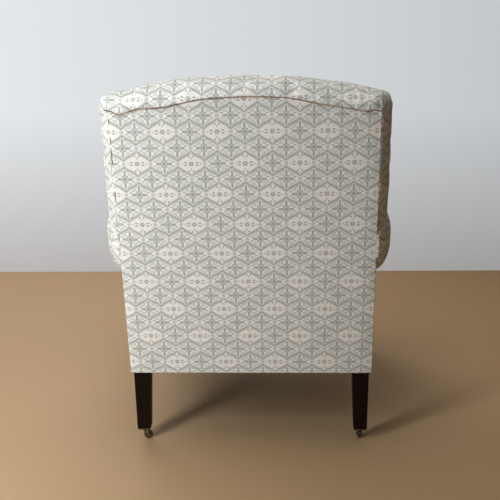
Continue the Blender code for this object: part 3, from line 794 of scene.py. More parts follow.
def placed(name: str, data: bpy.types.ID) -> Object:
    """A new object of the scene, at the origin.

    Args:
        name: Its name.
        data: Its mesh, lamp or camera.

    Returns:
        The object.
    """
    obj = bpy.data.objects.new(name, data)
    bpy.context.scene.collection.objects.link(obj)
    return obj


class Skin:
    """A closed cover, sewn from grids of points that carry their place on the cloth."""

    def __init__(self, name: str) -> None:
        """Start an empty cover.

        Args:
            name: The piece's name.
        """
        self.name = name
        self.points: list[Points] = []
        self.cloth: list[Points] = []
        self.held: list[Points] = []
        self.faces: list[Points] = []
        self.count = 0

    def panel(self, points: Points, cloth: Points, held: Points | float = 0.0) -> None:
        """Add one grid of cloth.

        Args:
            points: Rows and columns of points.
            cloth: The place of each on the cloth, in metres.
            held: How firmly each is held while the stuffing swells, 0 to 1.
        """
        rows, columns = points.shape[:2]
        index = np.arange(rows * columns).reshape(rows, columns) + self.count
        corners = (index[:-1, :-1], index[:-1, 1:], index[1:, 1:], index[1:, :-1])
        self.faces.append(np.stack(corners, axis=-1).reshape(-1, 4))
        self.points.append(points.reshape(-1, 3))
        self.cloth.append(np.broadcast_to(cloth, (rows, columns, 2)).reshape(-1, 2))
        self.held.append(np.broadcast_to(held, (rows, columns)).reshape(-1))
        self.count += rows * columns

    def bag(self, front: Points, back: Points, cloth: Points) -> None:
        """Add a flat bag: a front, a back, and the strip that joins them all round.

        Args:
            front: The grid of points that shows.
            back: The grid behind it.
            cloth: The place of each front point on the cloth.
        """
        self.panel(front, cloth)
        self.panel(back, cloth + [1.0, 0.0])
        for edge in (np.s_[0], np.s_[-1], np.s_[:, 0], np.s_[:, -1]):
            strip = np.stack([front[edge], back[edge]])
            thick = np.linalg.norm(strip[1] - strip[0], axis=-1, keepdims=True)
            self.panel(strip, np.stack([cloth[edge], cloth[edge] + thick]))

    def sewn(self, material: Material, sharp: float | None = None, closed: bool = True) -> Object:
        """Sew the grids into one object.

        Args:
            material: The cover's material.
            sharp: Edges sharper than this stay sharp, in degrees.
            closed: Whether open rims are filled.

        Returns:
            The object, at the origin.
        """
        mesh = bpy.data.meshes.new(self.name)
        faces = np.concatenate(self.faces).tolist()
        mesh.from_pydata(np.concatenate(self.points).tolist(), [], faces)
        corner = np.empty(len(mesh.loops), np.int32)
        mesh.loops.foreach_get("vertex_index", corner)
        layer = mesh.uv_layers.new(name=CLOTH_MAP)
        cloth = np.concatenate(self.cloth)[corner].astype(np.float32)
        layer.data.foreach_set("uv", cloth.ravel())
        obj = placed(self.name, mesh)
        group = obj.vertex_groups.new(name=HELD_GROUP)
        held = np.concatenate(self.held)
        for weight in np.unique(held[held > 0]):
            group.add(np.nonzero(held == weight)[0].tolist(), float(weight), "REPLACE")
        self.close(mesh, closed)
        mesh.materials.append(material)
        mesh.shade_smooth()
        if sharp is not None:
            mesh.set_sharp_from_angle(angle=math.radians(sharp))
        return obj

    def close(self, mesh: bpy.types.Mesh, closed: bool) -> None:
        """Weld the grids, fill the open rims and turn the faces outwards.

        Args:
            mesh: The mesh with the grids side by side.
            closed: Whether open rims are filled.
        """
        bm = bmesh.new()
        bm.from_mesh(mesh)
        bmesh.ops.remove_doubles(bm, verts=bm.verts, dist=WELD)
        bmesh.ops.dissolve_degenerate(bm, edges=bm.edges, dist=DEGENERATE)
        rims = [edge for edge in bm.edges if edge.is_boundary and closed]
        ends = bmesh.ops.holes_fill(bm, edges=rims, sides=0)["faces"] if rims else []
        flat = bm.loops.layers.uv[CLOTH_MAP]
        for face in ends:
            face.normal_update()
            facing = int(np.argmax(np.abs(face.normal)))
            for loop in face.loops:
                loop[flat].uv = [loop.vert.co[axis] for axis in range(3) if axis != facing]
        bmesh.ops.recalc_face_normals(bm, faces=bm.faces)
        bm.to_mesh(mesh)
        bm.free()


def vertex_places(obj: Object) -> Points:
    """The vertices of an object's mesh, one a row.

    Args:
        obj: The object.

    Returns:
        The vertices' places.
    """
    places = np.empty(len(obj.data.vertices) * 3)
    obj.data.vertices.foreach_get("co", places)
    return places.reshape(-1, 3)


def held_weights(obj: Object) -> Points:
    """How firmly each vertex is held, 0 to 1.

    Args:
        obj: The cover.

    Returns:
        One weight a vertex.
    """
    index = obj.vertex_groups[HELD_GROUP].index
    weights = np.zeros(len(obj.data.vertices))
    for vertex in obj.data.vertices:
        for entry in vertex.groups:
            if entry.group == index:
                weights[vertex.index] = entry.weight
    return weights


def applied(obj: Object) -> Object:
    """Turn an object with modifiers into the plain mesh that they make.

    Args:
        obj: The object, which loses its modifiers.

    Returns:
        The same object.
    """
    graph = bpy.context.evaluated_depsgraph_get()
    mesh = bpy.data.meshes.new_from_object(obj.evaluated_get(graph), depsgraph=graph)
    obj.modifiers.clear()
    obj.data = mesh
    mesh.name = obj.name
    return obj


@dataclass(frozen=True)
class Stuffing:
    """How a stuffed piece swells under its cover.

    Nothing moves further than its reach. The ripple is the depth of the hollows that a
    hand leaves in the stuffing, and its size is the distance between them.
    """

    pressure: float = 4.0
    frames: int = 20
    reach: float = 0.007
    fullness: float = 0.012
    ripple: float = 0.0009
    ripple_size: float = 0.055
    seed: float = 3.7
    quality: int = 6
    mass: float = 0.3
    stretch: float = 15.0
    shear: float = 5.0
    bend: float = 0.8

    def fill(self, obj: Object, low: Sequence[float], high: Sequence[float]) -> None:
        """Swell a cover, keep it within its room, and round its facets.

        Args:
            obj: The cover, with its held points in a vertex group.
            low: The room's lowest corner.
            high: The room's highest corner.
        """
        held = held_weights(obj)
        start = vertex_places(obj)
        moved = self.swollen(obj) - start
        distance = np.linalg.norm(moved, axis=1, keepdims=True)
        places = start + moved * np.minimum(1.0, self.reach / np.maximum(distance, 1e-9))
        normals = np.array([vertex.normal[:] for vertex in obj.data.vertices])
        size, shift = self.ripple_size, Vector((self.seed, 0, 0))
        bump = [
            noise.noise(Vector(place) / size + shift)
            + 0.5 * noise.noise(Vector(place) * 2.3 / size)
            for place in places
        ]
        places = places + normals * (np.array(bump) * self.ripple * (1 - held))[:, None]
        free = held < 1
        places[free] = np.clip(places[free], low, high)
        obj.data.vertices.foreach_set("co", places.ravel())
        obj.data.update()
        rounded = obj.modifiers.new("rounded stuffing", "SUBSURF")
        rounded.levels = rounded.render_levels = 1
        applied(obj)

    def swollen(self, obj: Object) -> Points:
        """Run the cloth and read where its points end.

        Args:
            obj: The cover.

        Returns:
            The points.
        """
        cloth = obj.modifiers.new("stuffing", "CLOTH")
        settings = cloth.settings
        settings.quality = self.quality
        settings.mass = self.mass
        settings.tension_stiffness = settings.compression_stiffness = self.stretch
        settings.shear_stiffness = self.shear
        settings.bending_stiffness = self.bend
        settings.use_pressure = True
        settings.uniform_pressure_force = self.pressure
        settings.shrink_min = -self.fullness
        settings.vertex_group_mass = HELD_GROUP
        settings.effector_weights.gravity = 0.0
        cloth.collision_settings.use_collision = False
        cloth.point_cache.frame_start = 1
        cloth.point_cache.frame_end = self.frames
        scene = bpy.context.scene
        for number in range(1, self.frames + 1):
            scene.frame_set(number)
        graph = bpy.context.evaluated_depsgraph_get()
        places = vertex_places(obj.evaluated_get(graph))
        obj.modifiers.remove(cloth)
        scene.frame_set(1)
        return places


def dressed(
    obj: Object,
    *nodes: str,
    body: Body = Body.CHAIR,
    slot: Slot = Slot.LINEN,
    fill: float | None = None,
) -> None:
    """Tie a piece to its body, and hide the nodes it stands for.

    Args:
        obj: The finished piece.
        nodes: CAD nodes that it replaces.
        body: The body it rides on.
        slot: The record's material slot; not used.
        fill: For a padded piece, how full it is; not used.
    """
    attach(obj, body.value)
    if nodes:
        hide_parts(*nodes)
    LOG.info("%s: %d faces", obj.name, len(obj.data.polygons))


# The chair's forms


@dataclass(frozen=True)
class ChairForm:
    """The frame's own forms, which every cover follows.

    The hand-sewn seam strays from its arch by so much at so many places across, given
    in pairs of x and rise.
    """

    fit: float = 0.0003
    front: float = -0.430
    body_half: float = 0.2965
    back_half: float = 0.322
    frame_out: float = 0.290
    frame_in: float = 0.262
    frame_front: float = -0.4177
    arm_inner: float = 0.2452
    hem: float = 0.185
    hem_y: float = 0.279761
    rake: float = 0.2125566
    rail_top: float = 0.265
    deck_top: float = 0.3323
    back_height: float = 0.912
    top_arch: float = 0.0386
    corner_drop: float = 0.015
    corner_squareness: float = 60.0
    seam_height: float = 0.873
    seam_arch: float = 0.040
    rail_below_seam: float = 0.018
    roll_base: float = 0.800
    panel: float = 0.005
    post_rear: float = -0.0053
    pad_rear: float = -0.0419
    pad_seat: float = 0.165
    pad_lumbar: float = 0.180
    pad_top: float = 0.142
    lumbar: float = 0.520
    squareness: float = 4.5
    arm_height: float = 0.615
    arm_middle: float = 0.530
    arm_under: float = 0.445
    arm_rail_top: float = 0.563
    arm_rise: float = 0.085
    side_fall: float = 0.0032
    side_fall_reach: float = 0.026
    overhang_front: float = 0.0555
    overhang_rear: float = 0.0325
    border_bend: float = 1.4
    arm_fullness: float = 2.5
    sewn: tuple[tuple[float, float], ...] = (
        (-0.293, 0.0062), (-0.275, 0.0040), (-0.265, -0.0036), (-0.254, -0.0024),
        (-0.215, -0.0046), (-0.163, -0.0045), (-0.124, -0.0008), (-0.092, 0.0018),
        (0.005, 0.0009), (0.092, -0.0006), (0.122, -0.0028), (0.165, -0.0068),
        (0.195, -0.0058), (0.234, 0.0012), (0.268, -0.0034), (0.278, -0.0005),
        (0.290, 0.0095), (0.304, 0.0160),
    )

    @property
    def slope(self) -> float:
        """Length along the raked back for each metre of height."""
        return math.hypot(1.0, self.rake)

    def panel_y(self, z: Points) -> Points:
        """Y of the outside back's face: plumb below the hem, raked above it."""
        return self.hem_y + np.maximum(np.asarray(z) - self.hem, 0.0) * self.rake

    def on_back(self, x: Points, s: Points, z: Points) -> Points:
        """Points at s behind the face of the outside back."""
        return points_of(x, self.panel_y(z) + s, z)

    def arch(self, x: Points) -> Points:
        """Height of the arch that the top of the frame follows below the seam."""
        return self.seam_height - self.seam_arch * (np.asarray(x) / self.body_half) ** 2

    def seam(self, x: Points) -> Points:
        """Height of the hand-sewn seam along the outside back's top, a little uneven."""
        return self.arch(x) + np.interp(x, *np.transpose(self.sewn))

    def crest(self, x: Points) -> Points:
        """Height of the top roll's crest, rounded off at its corners.

        Args:
            x: Place across.

        Returns:
            The height.
        """
        share = np.abs(x) / self.back_half
        corner = self.corner_drop * share**self.corner_squareness
        return self.back_height - self.top_arch * share**2 - corner

    def pad_depth(self, z: Points) -> Points:
        """Depth of the back at its middle, from the outside back's face.

        Args:
            z: Height.

        Returns:
            The depth.
        """
        z = np.asarray(z, float)
        low = smooth((z - self.deck_top) / (self.lumbar - self.deck_top))
        high = smooth((z - self.lumbar) / (self.roll_base - self.lumbar))
        below = self.pad_seat + (self.pad_lumbar - self.pad_seat) * low
        above = self.pad_lumbar + (self.pad_top - self.pad_lumbar) * high
        return np.where(z < self.lumbar, below, above)

    def pad_front(self, x: Points, z: Points, half: Points) -> Points:
        """Front of the back pad: crowned, and rounded off towards its sides.

        Args:
            x: Place across.
            z: Height.
            half: Half the pad's width there.

        Returns:
            How far it lies behind the panel's face.
        """
        share = np.clip(np.abs(x) / half, 0.0, 1.0)
        depth = np.maximum(1 - share**self.squareness, 0.0) ** (1 / self.squareness)
        return self.pad_rear - (self.pad_depth(z) + self.pad_rear) * depth

    def border(self, x: Points) -> Points:
        """How the rear falls away towards the sides: a little on the panel, fully beyond it.

        Args:
            x: Place across.

        Returns:
            The offsets from the panel's face.
        """
        near = np.clip(1 - (self.body_half - np.abs(x)) / self.side_fall_reach, 0.0, 1.0)
        past = np.clip((np.abs(x) - self.body_half) / (self.back_half - self.body_half), 0.0, 1.0)
        return (self.pad_rear + self.side_fall) * past**self.border_bend - self.side_fall * near**2

    def arm_oval(self, overhang: float, tuck: float = 0.0) -> tuple[float, float]:
        """The middle of an arm's roll and its reach from there, in x."""
        outer = self.body_half + overhang - tuck
        return (outer + self.arm_inner) / 2, (outer - self.arm_inner) / 2

    def shoulder(self, x: Points) -> Points:
        """Height of an arm's outer shoulder where it meets the back.

        Args:
            x: Place across.

        Returns:
            The height.
        """
        middle, reach = self.arm_oval(self.overhang_rear)
        past = np.clip((np.abs(x) - middle) / reach, 0.0, 0.985)
        return self.arm_middle + self.arm_rise * np.sqrt(1 - past**2)


# Stuffed pieces


@dataclass(frozen=True)
class BackUpholstery:
    """Inside back, side borders and top roll, under one pulled-over cover.

    The cover is a row of closed outlines, one for each column of points across the
    chair, from the foot of the inside back up its face, over the roll and down behind.
    """

    form: ChairForm
    finishes: Finishes
    stuffing: Stuffing = Stuffing(reach=0.006)
    step: float = 0.012
    least_step: float = 0.0004
    between_arms: float = 0.45
    above_arms: float = 0.70
    past_arms: float = 0.247
    base: float = 0.3326
    shelf_round: float = 0.016
    waist: float = 0.0045
    waist_low: float = 0.600
    waist_high: float = 0.645
    foot_overlap: float = 0.045
    foot_dive: float = 0.020
    pucker: float = 0.0011
    pucker_pitch: float = 0.034
    roll_overhang: float = 0.004
    tuck: float = 0.0012
    tuck_end: float = 0.004
    half_held: float = 0.35
    room_behind: float = 0.004
    room_above: float = 0.002
    arc_rows: int = 22
    rear_rows: int = 24
    side_rows: int = 16
    front_seam: int = 5
    piping: float = 0.0023
    piping_points: int = 260

    @property
    def face_rows(self) -> int:
        """How many rows of points the inside back's face has."""
        return round((self.form.roll_base - self.base) / self.step) + 1

    @property
    def roll_rows(self) -> slice:
        """The rows of the roll, from the face's top one."""
        return slice(self.face_rows - 1, self.face_rows + self.arc_rows - 1)

    @property
    def seam_row(self) -> int:
        """The row where the inside back's panel is sewn to the band over the top."""
        return self.face_rows + self.front_seam - 1

    def half_width(self, z: Points) -> Points:
        """Half the width of the pad at a height: narrow between the arms, wide above.

        Args:
            z: The height.

        Returns:
            The half width.
        """
        form = self.form
        middle, reach = form.arm_oval(form.overhang_rear)
        rise = np.clip((z - form.arm_middle) / form.arm_rise, 0.0, 1.0)
        along_arm = middle - reach * np.sqrt(1 - rise**2) - 2 * form.fit
        spread = smooth((z - form.arm_height) / self.shelf_round)
        return along_arm + (form.back_half - along_arm) * spread

    def lowest(self, x: Points) -> Points:
        """The height where the pad begins at a distance from the middle.

        Args:
            x: The distance.

        Returns:
            The height.
        """
        heights = np.linspace(self.form.arm_middle, self.form.arm_height + self.shelf_round, 400)
        widths = self.half_width(heights)
        inside = np.abs(x) <= widths[0]
        return np.where(inside, self.base, np.interp(np.abs(x), widths, heights))

    def border_end(self, x: float) -> float:
        """Height where the border ends: in the arm's shoulder, drawn in to a waist.

        Args:
            x: Place across.

        Returns:
            The height.
        """
        form = self.form
        share = (abs(x) - (form.back_half - self.waist)) / self.waist
        if share > 1e-6:
            return self.waist_low + (self.waist_high - self.waist_low) * min(share, 1.0)
        return float(form.shoulder(x)) - self.foot_overlap

    def columns(self) -> Points:
        """X of the columns of points, closer together where the cover turns.

        Returns:
            The places across, from left to right.
        """
        form = self.form
        waist = form.back_half - self.waist * np.array([1.6, 1.0, 0.97, 0.5, 0.15])
        found = [np.array([form.frame_out, form.body_half, form.body_half + 0.006]), waist]
        for half, start, z in (
            (self.half_width(self.between_arms), 0.0, self.between_arms),
            (form.back_half, self.past_arms, self.above_arms),
        ):
            x = half * np.sin(np.linspace(0, math.pi / 2, 2000)) ** 0.6
            x = np.concatenate([x, [half]])
            line = points_of(x, form.pad_front(x, z, half))
            line = np.concatenate([line, [[half, form.pad_rear]]])
            even = resampled(line, round(float(travel(line)[-1]) / self.step) + 1)[:, 0]
            found.append(even[even >= start])
        stations = np.unique(np.round(np.concatenate(found), 5))
        edges = (round(form.frame_out, 5), round(form.body_half, 5))
        right = [stations[0]]
        for x in stations[1:]:
            if x - right[-1] > self.least_step or x in edges:
                right.append(x)
        right = np.array([*right[:-1], form.back_half])
        return np.concatenate([-right[:0:-1], right])

    def puckers(self, x: float) -> float:
        """How far the cover is drawn in by the seam's stitches at one place."""
        sway = noise.noise(Vector((9.0 * x, 5.0, 0.0)))
        return -self.pucker * (1 + math.cos(2 * math.pi * x / self.pucker_pitch + 6 * sway))

    def profile(self, x: float) -> tuple[Points, Points]:
        """The closed outline of the cover at one distance from the middle.

        Args:
            x: The distance.

        Returns:
            The points as (s, z) rows, and how firmly each is held.
        """
        form = self.form
        low, end = float(self.lowest(x)), self.border_end(x)
        rear, crest = float(form.border(x)), float(form.crest(x))
        seam = min(float(form.seam(x)) + form.fit, crest)
        rows = np.maximum(np.linspace(self.base, form.roll_base, self.face_rows), low)
        face = points_of(form.pad_front(x, rows, self.half_width(rows)), rows)
        start_s, start_z = face[-1]
        edge = 1 - float(smooth((abs(x) - form.body_half + 0.03) / 0.03))
        proud = rear + (self.roll_overhang + self.puckers(x)) * edge
        angles = np.linspace(math.pi, 0.0, self.arc_rows)[1:]
        s = (proud + start_s) / 2 + (proud - start_s) / 2 * np.cos(angles)
        base = np.where(angles > math.pi / 2, min(start_z, crest), seam)
        arc = points_of(s, base + (crest - base) * np.sin(angles))
        hidden = abs(x) < form.body_half - 1e-6
        inner = form.post_rear - form.fit
        tucked = [[0.0, seam - self.tuck], [inner, seam - self.tuck_end]]
        if not hidden:
            knee = end if end >= self.waist_low else end + self.foot_dive
            path = [[rear, seam], [rear, knee], [rear - 0.2 * (knee - end), end]]
        elif abs(x) >= form.frame_out - 1e-6:
            path = [*tucked, [inner, end]]
        else:
            rail = float(form.arch(x)) - form.rail_below_seam + 3 * form.fit
            path = [*tucked, [inner, rail], [form.pad_rear, rail], [form.pad_rear, low]]
        outline = np.concatenate([face, arc, resampled(np.array(path), self.rear_rows)])
        held = np.zeros(len(outline))
        held[: len(face)][rows <= low + 0.001] = 1.0
        held[self.roll_rows.stop - 1 :] = 1.0 if hidden else self.half_held
        held[-2:] = 1.0
        return outline, held

    def grid(self) -> tuple[Points, Points, Points, Points]:
        """The cover's points before the stuffing swells.

        Returns:
            X of the columns, the points, the points as (s, z), and how firmly each is held.
        """
        xs = self.columns()
        outlines, helds = zip(*(self.profile(x) for x in xs))
        flat, held = np.stack(outlines, axis=1), np.stack(helds, axis=1)
        for outer in (0, -1):
            z = flat[:, outer, 1]
            shared = np.linspace(z.min(), z.max(), self.side_rows)
            flat[:, outer, 1] = shared[np.argmin(np.abs(z[:, None] - shared), axis=1)]
        first, last = self.edges(xs)
        held[: self.seam_row + 1, [first, last]] = 1.0
        held[self.seam_row, first : last + 1] = 1.0
        return xs, self.form.on_back(xs[None, :], flat[..., 0], flat[..., 1]), flat, held

    def edges(self, xs: Points) -> tuple[int, int]:
        """The columns where the inside back's panel is sewn to the side bands."""
        last = int(np.argmin(np.abs(xs - self.form.body_half)))
        return len(xs) - 1 - last, last

    def build(self) -> None:
        """Make the whole piece."""
        xs, points, flat, held = self.grid()
        first, last = self.edges(xs)
        skin = Skin("back_upholstery")
        middle, top = slice(first, last + 1), self.seam_row
        face, band = self.panel_cloth(xs[middle], points[:, middle], flat[:, middle])
        skin.panel(points[: top + 1, middle], face[: top + 1], held[: top + 1, middle])
        skin.panel(points[top:, middle], band[top:], held[top:, middle])
        skin.panel(points[[-1, 0], middle], np.stack([band[-1], face[0]]), 1.0)
        for part in (slice(0, first + 1), slice(last, len(xs))):
            cloth = self.side_cloth(xs[part], points[:, part], flat[:, part])
            skin.panel(points[:, part], cloth, held[:, part])
            skin.panel(points[[-1, 0], part], cloth[[-1, 0]], 1.0)
        obj = skin.sewn(self.finishes[Finish.LINEN])
        lo, hi = CAD_BOX
        high = (hi.x, hi.y + self.room_behind, hi.z + self.room_above)
        self.stuffing.fill(obj, (lo.x, lo.y, 0.0), high)
        nodes = ("inside_back", "back_top_roll", "back_border_left", "back_border_right")
        dressed(obj, *nodes, fill=0.8)

    def front_seam_line(self) -> Points:
        """The line of the piping round the inside back's panel, up, across and down.

        Returns:
            The points.
        """
        xs, points, _, _ = self.grid()
        first, last = self.edges(xs)
        low = float(self.lowest(self.form.body_half)) + 0.004
        sides = points[: self.seam_row, [first, last]]
        rising, falling = (side[side[:, 2] > low] for side in (sides[:, 0], sides[:, 1]))
        top = points[self.seam_row, first : last + 1]
        feet = points[0, [first, last]] + [0.0, 0.016, -0.001]
        line = np.concatenate([feet[:1], rising, top, falling[::-1], feet[1:]])
        line = resampled(line, self.piping_points)
        for _ in range(3):
            line[1:-1] = (line[:-2] + 2 * line[1:-1] + line[2:]) / 4
        return line

    def rise(self, points: Points, flat: Points) -> tuple[Points, Points]:
        """How far up the cloth the roll's points lie, counted from its front and from its rear.

        Args:
            points: The grid of points.
            flat: The same grid as (s, z).

        Returns:
            The two counts, row by row from the face's top one.
        """
        roll, slope = self.roll_rows, self.form.slope
        run = travel(points[roll], axis=0)
        front, rear = slope * flat[roll.start, :, 1], slope * flat[roll.stop, :, 1]
        return front + run, rear + run[-1] - run

    def panel_cloth(self, xs: Points, points: Points, flat: Points) -> tuple[Points, Points]:
        """Place of the middle's points on the cloth: the panel, and the band over the top.

        Args:
            xs: X of the columns.
            points: The grid of points.
            flat: The same grid as (s, z).

        Returns:
            The places on the inside back's panel, and those on the band.
        """
        level = self.roll_rows.start - 7
        across = travel(points[level : level + 1], axis=1)[0]
        face_v = self.form.slope * flat[..., 1]
        band_v = face_v.copy()
        face_v[self.roll_rows], band_v[self.roll_rows] = self.rise(points, flat)
        return points_of(across - across[len(xs) // 2], face_v), points_of(-xs, band_v)

    def side_cloth(self, xs: Points, points: Points, flat: Points) -> Points:
        """Place of a side band's points on the cloth, which turns with the side.

        Args:
            xs: X of the columns.
            points: The grid of points.
            flat: The same grid as (s, z).

        Returns:
            The places.
        """
        roll = self.roll_rows
        outer = 0 if xs[0] < 0 else len(xs) - 1
        inner = len(xs) - 1 - outer
        level = roll.stop + 2
        rear = travel(points[level : level + 1], axis=1)[0]
        rear = np.abs(rear - rear[inner])
        front = travel(points, axis=1)
        front = rear[outer] + np.abs(front - front[:, outer : outer + 1])
        turned = np.arange(len(flat)) - roll.start
        turned = np.clip(turned / (self.arc_rows / 2), 0.0, 1.0)[:, None]
        across = front * (1 - turned) + rear * turned
        v = self.form.slope * flat[..., 1]
        v[roll] = np.minimum(*self.rise(points, flat))
        side = -math.copysign(1.0, xs[outer])
        return points_of(side * (self.form.body_half + across), v)


@dataclass(frozen=True)
class ArmUpholstery:
    """One arm: roll and inside arm, facing, and outside arm.

    The facing's layers are how far each outline of it is drawn in, and how far it lies
    behind the chair's front.
    """

    side: Side
    form: ChairForm
    finishes: Finishes
    stuffing: Stuffing = Stuffing(reach=0.003, seed=8.1)
    step: float = 0.012
    roll_points: int = 56
    inside_points: int = 20
    end_depth: float = 0.046
    end_bend: float = 1.5
    end_tuck: float = 0.029
    end_rings: int = 8
    end_gap: float = 0.0022
    gathers: int = 17
    gather: float = 0.0009
    room_side: float = 0.3535
    room_top: float = 0.6175
    facing: float = 0.012
    facing_layers: tuple[tuple[float, float], ...] = (
        (0.0, 0.012), (0.0, 0.0045), (0.0012, 0.0025), (0.0045, 0.0012), (0.010, 0.0004),
        (0.016, 0.0),
    )
    front_rim: float = 0.0012
    gusset: float = 0.034
    edge_round: float = 0.0022
    ripple: float = 0.0006
    piping: float = 0.0024
    piping_in: float = 0.0016
    piping_back: float = 0.0030

    def roll(self, overhang: float, tuck: float, count: int, under: float = 80.0) -> Points:
        """The oval roll of an arm, from underneath, outwards, over to the inside.

        Args:
            overhang: How far it stands out past the body.
            tuck: How far its outline is drawn in at a rounded end.
            count: How many points it gets.
            under: The most degrees below straight outwards where it starts.

        Returns:
            The points as (x, z) rows.
        """
        form = self.form
        middle, reach = form.arm_oval(overhang, tuck)
        body_side = math.degrees(math.acos((form.body_half - middle) / reach))
        angles = np.radians(np.linspace(-min(body_side, under), 180.0, count))
        rise = form.arm_rise - tuck * 0.75
        full = np.where((angles > 0) & (angles < math.pi / 2), 2 / form.arm_fullness, 1.0)
        across = np.sign(np.cos(angles)) * np.abs(np.cos(angles)) ** full
        up = np.sign(np.sin(angles)) * np.abs(np.sin(angles)) ** full
        return points_of(middle + reach * across, form.arm_middle + rise * up)

    def held(self, count: int) -> Points:
        """How firmly the points of an arm's rings are held: free where they show.

        Args:
            count: How many rings there are.

        Returns:
            The weights, ring by ring.
        """
        held = np.ones((count, self.roll_points + self.inside_points + 4))
        held[:, 1 : self.roll_points + self.inside_points - 2] = 0.0
        return held

    def rings(self, shares: Points, tucks: Points) -> tuple[Points, Points]:
        """Rings of points along the arm.

        Args:
            shares: How far each ring is from the front end to the rear one, 0 to 1.
            tucks: How far each ring is drawn in.

        Returns:
            The grid of points, and the rings' outlines as (x, z).
        """
        form = self.form
        grid, flats = [], []
        for share, tuck in zip(shares, tucks):
            overhang = form.overhang_front + (form.overhang_rear - form.overhang_front) * share
            flat = self.outline(overhang, tuck)
            x, z = flat.T
            behind = smooth((form.body_half + 0.002 - x) / 0.002)
            ends = form.panel_y(z) - self.end_gap + form.post_rear * behind
            y = form.frame_front + (ends - form.frame_front) * share
            grid.append(points_of(self.side.value * x, y, z))
            flats.append(flat)
        return np.stack(grid), np.stack(flats)

    def end_cloth(self, grid: Points, flats: Points) -> Points:
        """Place of the rear end's points on the cloth, spread flat from its middle.

        Args:
            grid: The end's rings of points.
            flats: The same rings as (x, z).

        Returns:
            The places.
        """
        outward = flats[0] - flats[-1]
        outward /= np.maximum(np.linalg.norm(outward, axis=1, keepdims=True), 1e-6)
        reach = travel(grid[::-1], axis=0)[::-1]
        spread = flats[-1] + outward * reach[..., None]
        return spread * [-self.side.value, 1.0]

    def outline(self, overhang: float, tuck: float) -> Points:
        """The closed outline of an arm, slotted over its rail.

        Args:
            overhang: How far the roll stands out past the body.
            tuck: How far it is drawn in and gathered at a rounded end.

        Returns:
            The points as (x, z) rows.
        """
        form = self.form
        roll = self.roll(overhang, tuck, self.roll_points)
        inward = np.array([form.arm_oval(overhang, tuck)[0], form.arm_middle]) - roll
        inward /= np.linalg.norm(inward, axis=1, keepdims=True)
        roll = roll + inward * self.folds(tuck)[:, None]
        base = form.rail_top + 0.040 + form.fit
        heights = np.linspace(form.arm_middle, base, self.inside_points)[1:]
        inside = points_of(form.arm_inner, heights)
        near, far = form.frame_in - form.fit, form.frame_out + form.fit
        top = form.arm_rail_top + form.fit
        slot = np.array([[near, base], [near, top], [far, top], [far, form.arm_under]])
        return np.concatenate([roll, inside, slot, roll[:1]])

    def folds(self, tuck: float) -> Points:
        """How deep the gathers at a rounded end are, point by point.

        Args:
            tuck: How far the end's outline is drawn in.

        Returns:
            The depth along the roll.
        """
        turn = np.linspace(0.0, 2 * math.pi * self.gathers, self.roll_points)
        sway = 3 * unevenness(1.7 * turn, 4.0)
        depth = self.gather * min(tuck / (0.2 * self.end_tuck), 1.0)
        return depth * (1 + np.cos(turn + sway)) / 2

    def arm(self) -> None:
        """The cover of the roll, the inside arm and the rounded rear end."""
        form, side = self.form, self.side
        length = float(form.panel_y(form.arm_middle)) - form.frame_front
        end_share = 1 - self.end_depth / length
        shares = np.linspace(0.0, end_share, round((length - self.end_depth) / self.step))
        shares = np.concatenate([[0.0, self.front_rim / length], shares[1:]])
        body, body_flat = self.rings(shares, np.zeros(len(shares)))
        turn = np.radians(np.linspace(0.0, 90.0, self.end_rings))
        round_shares = end_share + (1 - end_share) * np.sin(turn) ** self.end_bend
        tucks = self.end_tuck * (1 - np.maximum(np.cos(turn), 0.0) ** self.end_bend)
        end, end_flat = self.rings(round_shares, tucks)
        run = np.stack([travel(flat[::-1])[::-1] for flat in body_flat])
        run += form.arm_middle - run[:, self.roll_points : self.roll_points + 1]
        along = side.value * (form.frame_front + travel(body, axis=0))
        body_held, end_held = self.held(len(body)), self.held(len(end))
        body_held[:2] = end_held[-1] = 1.0
        skin = Skin(f"arm_cover_{side.word}")
        skin.panel(body, points_of(along, run), body_held)
        skin.panel(end, self.end_cloth(end, end_flat), end_held)
        obj = skin.sewn(self.finishes[Finish.LINEN])
        xs = sorted((side.value * form.arm_inner, side.value * self.room_side))
        self.stuffing.fill(obj, (xs[0], -1.0, 0.0), (xs[1], 1.0, self.room_top))
        dressed(obj, f"arm_pad_{side.word}", fill=0.75)

    def facing_outline(self, inset: float) -> Points:
        """The scroll-shaped outline of a facing, drawn in by a little.

        Args:
            inset: How far it is drawn in.

        Returns:
            The points as (x, z) rows, without the first repeated.
        """
        form = self.form
        roll = self.roll(form.overhang_front - inset, 0.0, 40, under=86.0)
        middle = roll.mean(axis=0)
        lift = np.array([[0.0, form.arm_middle]])
        roll = (roll - lift) * [1.0, 1 - inset / form.arm_rise] + lift
        roll[:, 0] += np.clip((middle[0] - roll[:, 0]) / 0.05, 0.0, 1.0) * inset
        outer = np.linspace(form.hem + inset, form.arm_under + 0.004, 18)
        inner = np.linspace(form.arm_middle, form.hem + inset, 22)[1:]
        outside = points_of(form.body_half - inset, outer)
        inside = points_of(form.arm_inner + inset, inner)
        return np.concatenate([outside, roll, inside])

    def arm_facing(self) -> None:
        """The padded panel that closes the arm's front."""
        side, rings = self.side, []
        for inset, behind in self.facing_layers:
            x, z = self.facing_outline(inset).T
            x, z = np.append(x, x[0]), np.append(z, z[0])
            rings.append(points_of(side.value * x, self.form.front + behind, z))
        grid = np.stack(rings)
        skin = Skin(f"arm_facing_cover_{side.word}")
        skin.panel(grid, grid[..., [0, 2]])
        obj = skin.sewn(self.finishes[Finish.LINEN], sharp=50)
        dressed(obj, f"arm_facing_{side.word}", fill=0.3)

    def facing_seam(self) -> Points:
        """The line of the piping round the facing."""
        x, z = self.facing_outline(self.piping_in).T
        return points_of(self.side.value * x, self.form.front + self.piping_back, z)

